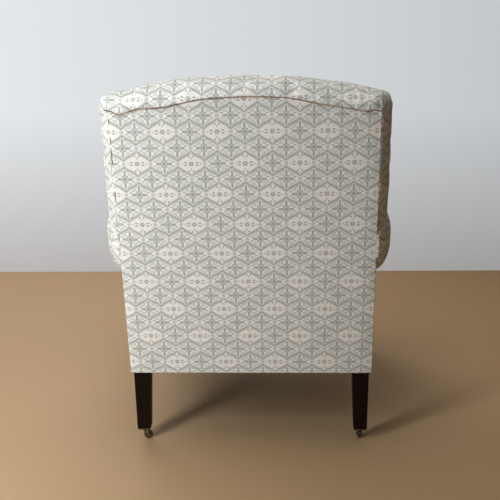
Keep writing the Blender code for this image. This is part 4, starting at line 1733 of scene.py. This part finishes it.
    def outside_arm(self) -> None:
        """The flat cover outside the arm, below its roll."""
        form, side = self.form, self.side
        inner, outer = form.frame_out + form.fit, form.body_half
        shares = np.concatenate([[0.0, 0.003, 0.008], np.linspace(0.02, 0.98, 22), [0.99, 1.0]])
        along = edged(50)
        start = form.front + self.facing + form.fit
        length = float(form.panel_y(form.arm_under)) + form.post_rear - start
        rise = self.gusset * smooth(1 - (1 - along) * length / (1.3 * self.end_depth))
        tall = form.arm_under - form.fit - form.hem + rise
        fronts, backs = [], []
        for share in shares:
            z = form.hem + tall * share
            end = form.panel_y(z[-1]) + form.post_rear
            y = start + (end - start) * along
            edge = np.minimum.reduce([y - start, end - y, z - form.hem, form.hem + tall - z])
            ripple = self.ripple * (1 - unevenness(12 * y, 12 * z, 5.0 * side.value))
            x = outer - self.edge_round * np.exp(-edge / self.edge_round) - ripple
            fronts.append(points_of(side.value * x, y, z))
            backs.append(points_of(side.value * inner, y, z))
        front = np.stack(fronts)
        skin = Skin(f"outside_arm_cover_{side.word}")
        skin.bag(front, np.stack(backs), front[..., 1:])
        obj = skin.sewn(self.finishes[Finish.LINEN], sharp=50)
        dressed(obj, f"outside_arm_{side.word}", fill=0.2)

    def build(self) -> None:
        """Make the arm with its facing and its outside cover."""
        self.arm()
        self.arm_facing()
        self.outside_arm()


@dataclass(frozen=True)
class OutsideBack:
    """The taut panel behind the chair, sewn by hand along its top and sides.

    A side span is a side, and the heights between which its seam's stitches show, with a painted
    shadow of the gaping seam.
    """

    form: ChairForm
    finishes: Finishes
    edge_round: float = 0.0016
    pucker: float = 0.0007
    pucker_pitch: float = 0.021
    hem_pitch: float = 0.034
    ripple: float = 0.0009
    hem_wave: float = 0.0009
    seam_turn: float = 0.008
    seam_points: int = 224
    height: float = 0.65
    side_spans: tuple[tuple[Side, float, float], ...] = (
        (Side.RIGHT, 0.818, 0.825), (Side.RIGHT, 0.773, 0.784), (Side.RIGHT, 0.724, 0.758),
        (Side.RIGHT, 0.638, 0.658), (Side.RIGHT, 0.539, 0.553),
        (Side.LEFT, 0.604, 0.642), (Side.LEFT, 0.555, 0.582),
    )

    def build(self) -> None:
        """Make the panel."""
        form, half = self.form, self.form.body_half
        near = np.array([0.0, 0.0008, 0.002, 0.004, 0.008])
        across = np.linspace(0.016, 2 * half - 0.016, 54)
        across = np.concatenate([near, across, 2 * half - near[::-1]]) - half
        ends = near / self.height
        shares = np.concatenate([ends, np.linspace(0.02, 0.98, 60), 1 - ends[::-1]])
        top, side = form.seam(across), half - np.abs(across)
        fray = self.hem_wave * unevenness(70 * across, 3.3)
        fronts, backs, cloths = [], [], []
        for share in shares:
            z = form.hem + (top - form.hem) * share + fray * (1 - share) ** 40
            up, down = top - z, z - form.hem
            edge = np.minimum.reduce([side, up, down])
            depth = np.where(side < np.minimum(up, down), 0.4, 1.0) * self.edge_round
            s = form.border(across) - depth * np.exp(-edge / (0.6 * self.edge_round))
            s = s + self.relief(across, z, side, up, down)
            fronts.append(form.on_back(across, s, z))
            backs.append(form.on_back(across, -form.panel, z))
            cloths.append(points_of(-across, z * form.slope))
        skin = Skin("outside_back_cover")
        skin.bag(np.stack(fronts), np.stack(backs), np.stack(cloths))
        dressed(skin.sewn(self.finishes[Finish.LINEN], sharp=60), "outside_back", fill=0.2)

    def relief(self, x: Points, z: Points, side: Points, up: Points, down: Points) -> Points:
        """How far the cloth lies in front of or behind its flat face.

        Args:
            x: Place across.
            z: Height.
            side: Distance from the nearer side seam.
            up: Distance from the top seam.
            down: Distance from the hem.

        Returns:
            The offsets.
        """
        wave = unevenness(9 * x, 6 * z, 1.3)
        pulls = 5 * unevenness(60 * x, 0.4, 7.7)
        top = np.cos(2 * math.pi * x / self.pucker_pitch + pulls) * np.exp(-up / 0.022)
        sides = np.cos(2 * math.pi * z / self.pucker_pitch) * np.exp(-side / 0.014)
        hem = 0.4 * np.cos(2 * math.pi * x / self.hem_pitch) * np.exp(-down / 0.012)
        inside = smooth(np.minimum.reduce([side, up, down]) / 0.006)
        puckers = self.pucker * (top + 0.6 * sides + hem - 0.6)
        return (self.ripple * (wave - 0.4) + puckers) * inside

    def top_seam(self) -> Points:
        """The line that the hand-sewn top seam follows, a little uneven.

        Returns:
            The points.
        """
        form = self.form
        start, end = 0.001 - form.body_half, form.body_half + self.seam_turn
        x = np.linspace(start, end, self.seam_points)
        sway = unevenness(16 * x, 2.2) + 0.5 * unevenness(55 * x, 8.2)
        proud = 0.0014 + 0.3 * np.maximum(x - form.body_half, 0.0)
        return form.on_back(x, form.border(x) + proud, form.seam(x) - 0.0011 + 0.0008 * sway)

    def side_stitches_and_shadow(self) -> list[Points]:
        """The few lengths of the side seams where the stitches show, with a painted shadow of the
        gaping seam.

        Returns:
            The lines of points.
        """
        x, s = self.form.body_half - 0.0003, 0.0007 - self.form.side_fall
        return [
            self.form.on_back(side.value * x, s, np.linspace(low, high, 12))
            for side, low, high in self.side_spans
        ]


@dataclass(frozen=True)
class Seat:
    """Front border, platform, the cloth below, and the loose box cushion."""

    form: ChairForm
    finishes: Finishes
    stuffing: Stuffing = Stuffing(reach=0.011, fullness=0.02, ripple=0.0013, seed=1.4)
    border_lip: float = 0.060
    border_round: float = 0.016
    border_sag: float = 0.0008
    border_end: float = 0.0022
    cover: float = 0.012
    edge_drop: float = 0.0028
    platform_wave: float = 0.0008
    leg_inner: float = 0.2487
    front_leg_y: float = -0.3764
    rear_leg_y: float = 0.2331
    bottoming_sag: float = 0.0022
    bottoming_thick: float = 0.0006
    piping: float = 0.0028
    piping_gap: float = 0.0006
    step: float = 0.0125
    crown_room: float = 0.016
    crown: float = 0.010
    side_draw: float = 0.005
    corner_draw: float = 0.0055
    boxing_rows: int = 9
    room_above: float = 0.004

    def front_border(self) -> None:
        """The seat's front cover, thin over the rail and stuffed out above it."""
        form, bend = self.form, self.border_round
        front, top, rail = form.front, form.deck_top, form.rail_top + form.fit
        inner, cover = front + self.border_lip, front + self.cover
        heights = np.linspace(form.hem + 0.001, top - bend, 14)
        angles = np.radians(np.linspace(180, 90, 9))[1:]
        curve = points_of(front + bend * (1 + np.cos(angles)), top - bend * (1 - np.sin(angles)))
        back = [
            [inner - 0.002, top], [inner, top - 0.002], [inner, rail], [cover, rail],
            [cover, form.hem], [front + 0.001, form.hem], [front, heights[0]],
        ]
        flat = np.concatenate([points_of(front, heights), curve, back])
        half = form.arm_inner - form.fit
        xs = np.concatenate([[-1.0, -0.992], np.linspace(-0.975, 0.975, 40), [0.992, 1.0]])
        xs = half * xs
        y, z = flat.T
        soft = (y < front + bend) & (z > form.hem + 0.002)
        rows = []
        for x in xs:
            sag = self.border_sag + 0.0006 * unevenness(14 * x, 20 * z, 3.0)
            end = self.border_end * math.exp(-(half - abs(x)) / 0.003)
            rows.append(points_of(x, y + np.where(soft, sag + end, 0.0), z))
        skin = Skin("front_border_cover")
        skin.panel(np.stack(rows), points_of(xs[:, None], travel(flat) + form.hem))
        dressed(skin.sewn(self.finishes[Finish.LINEN], sharp=50), "front_border", fill=0.5)

    def platform(self) -> None:
        """The calico-covered platform over the springs."""
        lo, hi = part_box("seat_deck")
        y = lo.y + (hi.y - lo.y) * edged(40)
        rows = []
        for x in np.linspace(lo.x, hi.x, 42):
            edge = np.minimum(np.minimum(y - lo.y, hi.y - y), min(x - lo.x, hi.x - x))
            wave = self.platform_wave * (1 + unevenness(11 * x, 11 * y, 6.0))
            face = points_of(x, y, hi.z - self.edge_drop * np.exp(-edge / 0.006) - wave)
            rows.append(np.concatenate([face, points_of(x, y, lo.z)[::-1], face[:1]]))
        grid = np.stack(rows)
        skin = Skin("platform_cover")
        skin.panel(grid, grid[..., :2])
        obj = skin.sewn(self.finishes[Finish.CALICO], sharp=50)
        dressed(obj, "seat_deck", slot=Slot.HESSIAN, fill=0.4)

    def bottoming(self) -> None:
        """The black cloth stretched under the seat, cut round the legs."""
        lo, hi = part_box("bottoming_cloth")
        side, front, rear = self.leg_inner, self.front_leg_y, self.rear_leg_y
        fine = np.linspace(0.0, 1.0, 40)
        long, between = lo.y + (hi.y - lo.y) * fine, front + (rear - front) * fine
        skin = Skin("bottoming_sheet")
        for xs, ys in (
            (np.linspace(-side, side, 44), long),
            (np.linspace(lo.x, -side, 5), between),
            (np.linspace(side, hi.x, 5), between),
        ):
            x, y = np.meshgrid(xs, ys)
            edge = np.minimum.reduce([x - lo.x, hi.x - x, y - lo.y, hi.y - y])
            depth = self.bottoming_sag + 0.0006 * unevenness(9 * x, 9 * y, 2.0)
            grid = points_of(x, y, lo.z + 0.0003 - smooth(edge / 0.12) * depth)
            skin.panel(grid[::-1], grid[::-1, :, :2])
        obj = skin.sewn(self.finishes[Finish.BLACK_CLOTH], closed=False)
        thick = obj.modifiers.new("cloth thickness", "SOLIDIFY")
        thick.thickness, thick.offset = self.bottoming_thick, 0.0
        applied(obj)
        dressed(obj, "bottoming_cloth", slot=Slot.BLACK_CLOTH)

    def cushion_plan(self, u: Points, v: Points) -> tuple[Points, Points]:
        """Where a point of the cushion's plan lies.

        Args:
            u: Across, -1 to 1.
            v: Front to back, -1 to 1.

        Returns:
            Its x and y.
        """
        lo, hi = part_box("seat_cushion")
        half_x = hi.x - self.piping - self.piping_gap
        half_y = (hi.y - lo.y) / 2 - self.piping - self.piping_gap
        pull = self.corner_draw * np.abs(u * v) ** 22
        draw_x = self.side_draw * (1 - v * v) * np.abs(u) ** 6 + pull
        draw_y = self.side_draw * (1 - u * u) * np.abs(v) ** 6 + pull
        x = u * half_x - np.sign(u) * draw_x
        return x, (lo.y + hi.y) / 2 + v * half_y - np.sign(v) * draw_y

    def cushion_stations(self) -> tuple[Points, Points]:
        """Where the plan's columns and rows of points lie, each from -1 to 1.

        Returns:
            The columns and the rows.
        """
        lo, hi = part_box("seat_cushion")
        wide, long = (round(length / self.step) + 1 for length in (hi.x - lo.x, hi.y - lo.y))
        return np.linspace(-1, 1, wide), np.linspace(-1, 1, long)

    def cushion_rim(self) -> tuple[Points, Points]:
        """The plan's rim, point by point, with its first point repeated.

        Returns:
            The points' x and y.
        """
        wide, long = self.cushion_stations()
        u = np.concatenate([wide[:-1], np.ones(len(long) - 1), -wide[:-1], -np.ones(len(long))])
        v = np.concatenate([-np.ones(len(wide) - 1), long[:-1], np.ones(len(wide) - 1), -long])
        return self.cushion_plan(u, v)

    def seam_heights(self) -> tuple[float, float]:
        """Heights of the cushion's lower and upper seam."""
        lo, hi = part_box("seat_cushion")
        return lo.z + self.piping, hi.z - self.crown_room

    def seams(self) -> list[Points]:
        """The cushion's two piped seams, as closed lines."""
        x, y = self.cushion_rim()
        return [points_of(x[:-1], y[:-1], z) for z in self.seam_heights()]

    def cushion(self) -> None:
        """The loose cushion: two panels and a boxing strip, swollen by its filling."""
        lo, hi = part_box("seat_cushion")
        low_seam, high_seam = self.seam_heights()
        u, v = np.meshgrid(*self.cushion_stations())
        x, y = self.cushion_plan(u, v)
        dome = ((1 - u * u) * (1 - v * v)) ** 0.4
        rim = (np.abs(u) == 1) | (np.abs(v) == 1)
        skin = Skin("seat_cushion_cover")
        top = points_of(x, y, high_seam + self.crown * dome)
        skin.panel(top, top[..., :2], np.where(rim, 1.0, 0.0))
        bottom = points_of(x, y, low_seam - self.piping * np.minimum(dome * 3, 1.0))
        skin.panel(bottom[::-1], bottom[::-1, :, :2] + [0.0, 1.0], 1.0)
        heights = np.linspace(low_seam, high_seam, self.boxing_rows)
        band = points_of(*self.cushion_rim(), heights[:, None])
        held = np.zeros(band.shape[:2])
        held[[0, -1]] = 1.0
        skin.panel(band, points_of(travel(band[:1], axis=1)[0], band[..., 2]), held)
        obj = skin.sewn(self.finishes[Finish.LINEN])
        self.stuffing.fill(obj, (lo.x, lo.y, lo.z), (hi.x, hi.y, hi.z + self.room_above))
        dressed(obj, "seat_cushion", body=Body.CUSHION, fill=0.75)

    def build(self) -> None:
        """Make the border, the platform, the cloth below and the cushion."""
        self.front_border()
        self.platform()
        self.bottoming()
        self.cushion()


# Trim along paths


class PathTree(NodeMaker):
    """A Geometry Nodes tree that puts something along a path, with named sizes."""

    def __init__(self, name: str, sizes: Mapping[str, float]) -> None:
        """Start a tree with a path, its sizes and a material.

        Args:
            name: The tree's name.
            sizes: The names of its sizes and their usual values.
        """
        super().__init__(bpy.data.node_groups.new(name, "GeometryNodeTree"))
        face = self.tree.interface
        face.new_socket("Path", in_out="INPUT", socket_type="NodeSocketGeometry")
        for label, value in sizes.items():
            kind = "NodeSocketInt" if isinstance(value, int) else "NodeSocketFloat"
            face.new_socket(label, in_out="INPUT", socket_type=kind).default_value = value
        face.new_socket("Finish", in_out="INPUT", socket_type="NodeSocketMaterial")
        face.new_socket("Pieces", in_out="OUTPUT", socket_type="NodeSocketGeometry")
        self.given = self.node("NodeGroupInput").outputs
        inputs = {0: self.given["Path"]}
        self.curve = self.node("GeometryNodeMeshToCurve", inputs=inputs).outputs[0]

    def end(self, geometry: Socket) -> None:
        """Realize, give the finish, and close the tree.

        Args:
            geometry: What the tree has made.
        """
        real = self.node("GeometryNodeRealizeInstances", inputs={0: geometry}).outputs[0]
        rounded = self.node("GeometryNodeSetShadeSmooth", inputs={0: real}).outputs[0]
        inputs = {"Geometry": rounded, "Material": self.given["Finish"]}
        done = self.node("GeometryNodeSetMaterial", inputs=inputs).outputs[0]
        self.node("NodeGroupOutput", inputs={0: done})

    def spaced(self) -> bpy.types.bpy_prop_collection:
        """Points along the path, each a spacing from the last, and how they are turned."""
        inputs = {"Curve": self.curve, "Length": self.given["Spacing"]}
        return self.node("GeometryNodeCurveToPoints", {"mode": "LENGTH"}, inputs).outputs

    def end_with_beads(
        self, points: Socket, segments: int, size: Socket, turn: Socket | None = None
    ) -> None:
        """Put a small ellipsoid on every point, and close the tree.

        Args:
            points: The points.
            segments: How many sides a bead has.
            size: Its three radii.
            turn: Its rotation.
        """
        shape = {"Segments": segments, "Rings": 6, "Radius": 1.0}
        bead = self.node("GeometryNodeMeshUVSphere", inputs=shape).outputs[0]
        inputs = {"Points": points, "Instance": bead, "Scale": size}
        if turn:
            inputs["Rotation"] = turn
        self.end(self.node("GeometryNodeInstanceOnPoints", inputs=inputs).outputs[0])

    def along(
        self,
        name: str,
        lines: Sequence[Points],
        finish: Material,
        sizes: Mapping[str, float] | None = None,
        closed: bool = False,
    ) -> Object:
        """Run the tree along lines and keep the plain mesh.

        Args:
            name: The new piece's name.
            lines: One or more lines of points.
            finish: The piece's material.
            sizes: Sizes that differ from the tree's usual ones.
            closed: Whether each line ends where it starts.

        Returns:
            The piece, with no modifier left.
        """
        edges, start = [], 0
        for line in lines:
            end = start + len(line)
            edges += [(i, i + 1) for i in range(start, end - 1)]
            if closed:
                edges.append((end - 1, start))
            start = end
        mesh = bpy.data.meshes.new(name)
        mesh.from_pydata(np.concatenate(lines).tolist(), edges, [])
        obj = placed(name, mesh)
        modifier = obj.modifiers.new("along the path", "NODES")
        modifier.node_group = self.tree
        values = {**(sizes or {}), "Finish": finish}
        for item in self.tree.interface.items_tree:
            if item.in_out == "INPUT" and item.name in values:
                modifier[item.identifier] = values[item.name]
        return applied(obj)


def piping_tree() -> PathTree:
    """A cord covered with cloth, which keeps its place on the cloth.

    Returns:
        The tree.
    """
    tree = PathTree("piping", {"Radius": 0.0028, "Sides": 10})
    run = tree.node("GeometryNodeSplineParameter").outputs["Length"]
    inputs = {"Resolution": tree.given["Sides"], "Radius": tree.given["Radius"]}
    circle = tree.node("GeometryNodeCurvePrimitiveCircle", inputs=inputs).outputs[0]
    kept = []
    for curve in (tree.curve, circle):
        capture = tree.node("GeometryNodeCaptureAttribute")
        capture.capture_items.new("FLOAT", "run")
        tree.feed(capture.inputs[0], curve)
        tree.feed(capture.inputs[1], run)
        kept.append(capture.outputs)
    (line, along), (profile, turn) = ((outputs[0], outputs[1]) for outputs in kept)
    inputs = {"Curve": line, "Profile Curve": profile, "Fill Caps": True}
    cord = tree.node("GeometryNodeCurveToMesh", inputs=inputs).outputs[0]
    settings = {"data_type": "FLOAT2", "domain": "CORNER"}
    inputs = {"Geometry": cord, "Name": CLOTH_MAP, "Value": tree.vector(along, turn)}
    tree.end(tree.node("GeometryNodeStoreNamedAttribute", settings, inputs).outputs[0])
    return tree


def stitch_tree() -> PathTree:
    """Short stitches along a line, a little uneven.

    Returns:
        The tree.
    """
    sizes = {"Spacing": 0.009, "Stitch": 0.0042, "Thickness": 0.00055, "Lean": 0.35}
    tree = PathTree("stitches", {**sizes, "Uneven": 0.25, "Seed": 5})
    points, given = tree.spaced(), tree.given
    inputs = {"Vector": points["Tangent"]}
    aligned = tree.node("FunctionNodeAlignRotationToVector", {"axis": "X"}, inputs).outputs[0]
    chance = tree.node("FunctionNodeRandomValue", {"data_type": "FLOAT"})
    low, high = [socket for socket in chance.inputs if socket.type == "VALUE"][:2]
    low.default_value, high.default_value = -1.0, 1.0
    tree.feed(chance.inputs["Seed"], given["Seed"])
    swing = next(socket for socket in chance.outputs if socket.type == "VALUE")
    lean = Wire(tree, swing) * given["Uneven"] + given["Lean"]
    inputs = {0: aligned, 1: tree.vector(0.0, lean)}
    turned = tree.node("FunctionNodeRotateRotation", {"rotation_space": "LOCAL"}, inputs)
    half, thick = Wire(tree, given["Stitch"]) * 0.5, given["Thickness"]
    size = tree.vector(half, thick, thick)
    tree.end_with_beads(points["Points"], 6, size, turned.outputs[0])
    return tree


def tack_tree() -> PathTree:
    """Domed tack heads along a line, facing down.

    Returns:
        The tree.
    """
    tree = PathTree("tacks", {"Spacing": 0.032, "Head": 0.0034, "Dome": 0.0013})
    head = tree.given["Head"]
    size = tree.vector(head, head, tree.given["Dome"])
    tree.end_with_beads(tree.spaced()["Points"], 12, size)
    return tree


@dataclass(frozen=True)
class Trim:
    """Piping, hand stitches and tacks, and seam cords that carry painted shadow."""

    finishes: Finishes
    inside: BackUpholstery
    arms: Sequence[ArmUpholstery]
    back: OutsideBack
    seat: Seat
    tack_inset: float = 0.010
    tack_from_leg: float = 0.050

    def build(self) -> None:
        """Make every line of trim."""
        piping, stitches = piping_tree(), stitch_tree()
        # The thread's dark lengths are painted shadow.
        linen, thread = self.finishes[Finish.LINEN], self.finishes[Finish.THREAD]
        seams = piping.along("cushion_piping", self.seat.seams(), linen, closed=True)
        dressed(seams, body=Body.CUSHION)
        top, sides = [self.back.top_seam()], self.back.side_stitches_and_shadow()
        facings = [arm.facing_seam() for arm in self.arms]
        seam_shadow = self.finishes[Finish.DARK_THREAD]
        for tree, name, lines, finish, sizes in (
            (
                piping, "inside_back_piping", [self.inside.front_seam_line()], linen,
                {"Radius": self.inside.piping},
            ),
            (piping, "facing_piping", facings, linen, {"Radius": self.arms[0].piping}),
            # Partly painted shadow: a thick thread cord in the top seam's crease, standing for the
            # fold's shade.
            (piping, "top_seam_cord_and_shadow", top, thread, {"Radius": 0.0012, "Sides": 8}),
            (stitches, "top_seam_stitches", top, thread, {"Spacing": 0.0075}),
            (
                stitches, "side_seam_stitches", sides, thread,
                {"Spacing": 0.006, "Stitch": 0.0042, "Thickness": 0.0006, "Lean": 0.1},
            ),
            # Painted shadow: a thin dark cord along the side seams where they gape.
            (piping, "side_seam_shadow_cord", sides, seam_shadow, {"Radius": 0.0006, "Sides": 6}),
        ):
            dressed(tree.along(name, lines, finish, sizes, closed=lines is facings))
        heads = tack_tree().along("bottoming_tacks", self.tack_lines(), self.finishes[Finish.TACK])
        dressed(heads, slot=Slot.BLACK_CLOTH)

    def tack_lines(self) -> list[Points]:
        """The lines of tacks round the bottoming cloth's edge, clear of the legs.

        Returns:
            The four lines.
        """
        lo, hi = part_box("bottoming_cloth")
        z, inset, leg = lo.z - 0.0001, self.tack_inset, self.tack_from_leg
        xs, ys = (lo.x + inset, hi.x - inset), (lo.y + inset, hi.y - inset)
        lines = [np.array([[xs[0] + leg, y, z], [xs[1] - leg, y, z]]) for y in ys]
        return lines + [np.array([[x, ys[0] + leg, z], [x, ys[1] - leg, z]]) for x in xs]


# Wooden and inner parts


@dataclass(frozen=True)
class InnerParts:
    """The CAD pieces that keep their own meshes and get better materials.

    A rule is a finish and how its nodes' names start, and the first that fits holds.
    """

    finishes: Finishes
    rules: tuple[tuple[Finish, tuple[str, ...]], ...] = (
        (Finish.LEG_WOOD, ("rear_leg", "front_leg")),
        (Finish.BEECH_UPRIGHT, ("arm_post",)),
        (Finish.BEECH_ALONG, ("arm_rail", "seat_rail_left", "seat_rail_right")),
        (Finish.BEECH_ACROSS, ("seat_rail", "corner_block", "back_top_rail", "back_lower_rail")),
        (Finish.STEEL, ("seat_spring",)),
        (Finish.JUTE_FLAT, ("seat_webbing",)),
        (Finish.JUTE_UPRIGHT, ("back_webbing",)),
        (Finish.BLACK_CLOTH, ("bottoming",)),
        (Finish.WHEEL_WOOD, ("castor_wheel",)),
        (Finish.BRASS, ("castor",)),
    )

    def build(self) -> None:
        """Give each kept node its material."""
        for name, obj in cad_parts.items():
            fitting = [finish for finish, starts in self.rules if name.startswith(starts)]
            for finish in fitting[:1]:
                material = self.finishes[finish]
                for slot in obj.material_slots:
                    slot.material = material
                if not obj.material_slots:
                    obj.data.materials.append(material)


# Studio


@dataclass(frozen=True)
class Lamp:
    """A soft box of so many watts that points at a place."""

    name: str
    place: Triple
    target: Triple
    size: tuple[float, float]
    power: float
    colour: Colour

    def build(self) -> None:
        """Put the lamp into the scene, where the camera doesn't see it."""
        data = bpy.data.lights.new(self.name, "AREA")
        data.shape = "RECTANGLE"
        data.size, data.size_y = self.size
        data.energy, data.color = self.power, self.colour
        obj = placed(self.name, data)
        obj.visible_camera = False
        obj.location = self.place
        aim = Vector(self.target) - Vector(self.place)
        obj.rotation_euler = aim.to_track_quat("-Z", "Y").to_euler()


@dataclass(frozen=True)
class Studio:
    """Pale floor, pale backdrop, soft light and the photograph's camera."""

    camera_place: Triple = (-0.096, 2.4918, 1.061)
    yaw: float = math.radians(-2.42)
    pitch: float = math.radians(14.28)
    roll: float = math.radians(-0.825)
    focal_share: float = 960.0 / 500.0
    sensor: float = 36.0
    wall_y: float = -1.32
    wall_height: float = 4.5
    reach: float = 7.0
    # The wall's painted light and shade: a bright side, a shaded side and a shaded foot.
    wall_bright: Colour = (0.780, 0.810, 0.835)
    wall_shade: Colour = (0.500, 0.526, 0.546)
    wall_foot_shade: Colour = (0.58, 0.52, 0.49)
    floor_colour: Colour = (0.400, 0.260, 0.140)
    sky: Colour = (1.0, 0.84, 0.64)
    sky_strength: float = 0.125
    lamps: tuple[Lamp, ...] = (
        Lamp(
            "window_light", (1.13, 1.50, 1.02), (1.27, 0.37, 0.85), (0.5, 1.5), 47.0,
            (0.90, 0.955, 1.0),
        ),
        Lamp(
            "ceiling_light", (0.15, 0.25, 2.7), (0.0, 0.15, 0.5), (1.8, 1.8), 26.0,
            (1.0, 0.985, 0.96),
        ),
        Lamp(
            "front_fill", (1.3, -2.4, 1.7), (0.0, -0.1, 0.5), (1.6, 1.4), 27.0,
            (1.0, 0.99, 0.97),
        ),
    )

    def camera(self) -> None:
        """Put the camera where the photograph was taken from."""
        data = bpy.data.cameras.new("photo_camera")
        data.sensor_width = self.sensor
        data.lens = self.sensor * self.focal_share
        data.clip_end = 50.0
        obj = placed("photo_camera", data)
        right = Vector((-math.cos(self.yaw), math.sin(self.yaw), 0.0))
        level = Vector((-math.sin(self.yaw), -math.cos(self.yaw), 0.0))
        up = Vector((0.0, 0.0, 1.0))
        forward = level * math.cos(self.pitch) - up * math.sin(self.pitch)
        upward = level * math.sin(self.pitch) + up * math.cos(self.pitch)
        turned_right = right * math.cos(self.roll) + upward * math.sin(self.roll)
        turned_up = upward * math.cos(self.roll) - right * math.sin(self.roll)
        axes = Matrix((turned_right, turned_up, -forward)).transposed()
        obj.matrix_world = Matrix.Translation(self.camera_place) @ axes.to_4x4()
        bpy.context.scene.camera = obj

    def plane(self, name: str, corners: Sequence[Sequence[float]], material: Material) -> None:
        """A flat stage piece from its four corners.

        Args:
            name: Its name.
            corners: The corners in order.
            material: Its material.
        """
        mesh = bpy.data.meshes.new(name)
        mesh.from_pydata(corners, [], [(0, 1, 2, 3)])
        mesh.materials.append(material)
        placed(name, mesh)

    def wall_material(self) -> Material:
        """A wall that the camera sees from its front only, with painted shade: darker to one side
        and towards its foot.

        Returns:
            The material.
        """
        shader = Shader("studio_wall")
        x, _, z = shader.split(shader.coordinates())
        # Painted shade: the wall is darker towards -X, away from the window light.
        level = shader.blend(x.above(-0.15, 2.4), self.wall_shade, self.wall_bright)
        # Painted shade: the wall is darker and warmer towards the floor.
        foot = shader.blend(z.above(0.28, 0.75), self.wall_foot_shade, (1.0, 1.0, 1.0))
        colour = shader.multiplied(level, foot)
        # Camera and glossy rays see the wall's colour, painted shade and all, as a glow.
        glow = shader.node("ShaderNodeEmission", inputs={"Color": colour, "Strength": 1.0})
        shader.finish({"Base Color": colour, "Roughness": 0.95, "Specular IOR Level": 0.0})
        wall = shader.mixed(shader.shown(), shader.surface.outputs[0], glow.outputs[0])
        return self.one_sided(shader, wall)

    def one_sided(self, shader: Shader, surface: Socket) -> Material:
        """Let the camera see through a stage piece from behind, and lamps shine through it.

        Args:
            shader: The piece's shader.
            surface: What its front shows.

        Returns:
            The material.
        """
        clear = shader.node("ShaderNodeBsdfTransparent").outputs[0]
        behind = Wire(shader, shader.node("ShaderNodeNewGeometry").outputs["Backfacing"])
        shadow = shader.node("ShaderNodeLightPath").outputs["Is Shadow Ray"]
        both = shader.mixed(behind.at_least(shadow), surface, clear)
        shader.feed(shader.tree.nodes["Material Output"].inputs["Surface"], both)
        return shader.material

    def floor_material(self) -> Material:
        """A plain pale floor with a faint unevenness.

        Returns:
            The material.
        """
        shader = Shader("studio_floor")
        cloud = shader.mottle(shader.coordinates(), 3.0, 3.0)
        colour = shader.blend(cloud, scaled(self.floor_colour, 0.94), self.floor_colour)
        shader.finish({"Base Color": colour, "Roughness": 0.7, "Specular IOR Level": 0.2})
        return self.one_sided(shader, shader.surface.outputs[0])

    def world(self) -> None:
        """Soft light from all round, and a pale background where the camera sees past."""
        world = bpy.data.worlds.new("studio")
        bpy.context.scene.world = world
        world.use_nodes = True
        world.node_tree.nodes.clear()
        maker = NodeMaker(world.node_tree)
        light, seen = (
            maker.node("ShaderNodeBackground", inputs={"Color": colour, "Strength": strength})
            for colour, strength in ((self.sky, self.sky_strength), (self.wall_bright, 1.0))
        )
        both = maker.mixed(maker.shown(), light.outputs[0], seen.outputs[0])
        maker.node("ShaderNodeOutputWorld", inputs={0: both})

    def build(self) -> None:
        """Make the camera, the stage and the lamps."""
        self.camera()
        far, wall, top = self.reach, self.wall_y, self.wall_height
        floor = [(-far, wall, 0), (far, wall, 0), (far, far, 0), (-far, far, 0)]
        self.plane("studio_floor", floor, self.floor_material())
        corners = [(-far, wall, 0), (-far, wall, top), (far, wall, top), (far, wall, 0)]
        self.plane("studio_wall", corners, self.wall_material())
        self.world()
        for lamp in self.lamps:
            lamp.build()
        bpy.context.scene.view_settings.view_transform = "Standard"


def main() -> None:
    """Build the chair's looks round the frame."""
    logging.basicConfig(level=logging.INFO, format="%(name)s: %(message)s")
    Studio().build()
    form, finishes = ChairForm(), {finish: finish.value.material() for finish in Finish}
    InnerParts(finishes).build()
    back, inside = OutsideBack(form, finishes), BackUpholstery(form, finishes)
    arms = [ArmUpholstery(side, form, finishes) for side in Side]
    seat = Seat(form, finishes)
    for pieces in (back, inside, *arms, seat, Trim(finishes, inside, arms, back, seat)):
        pieces.build()


if __name__ == "__main__":
    main()
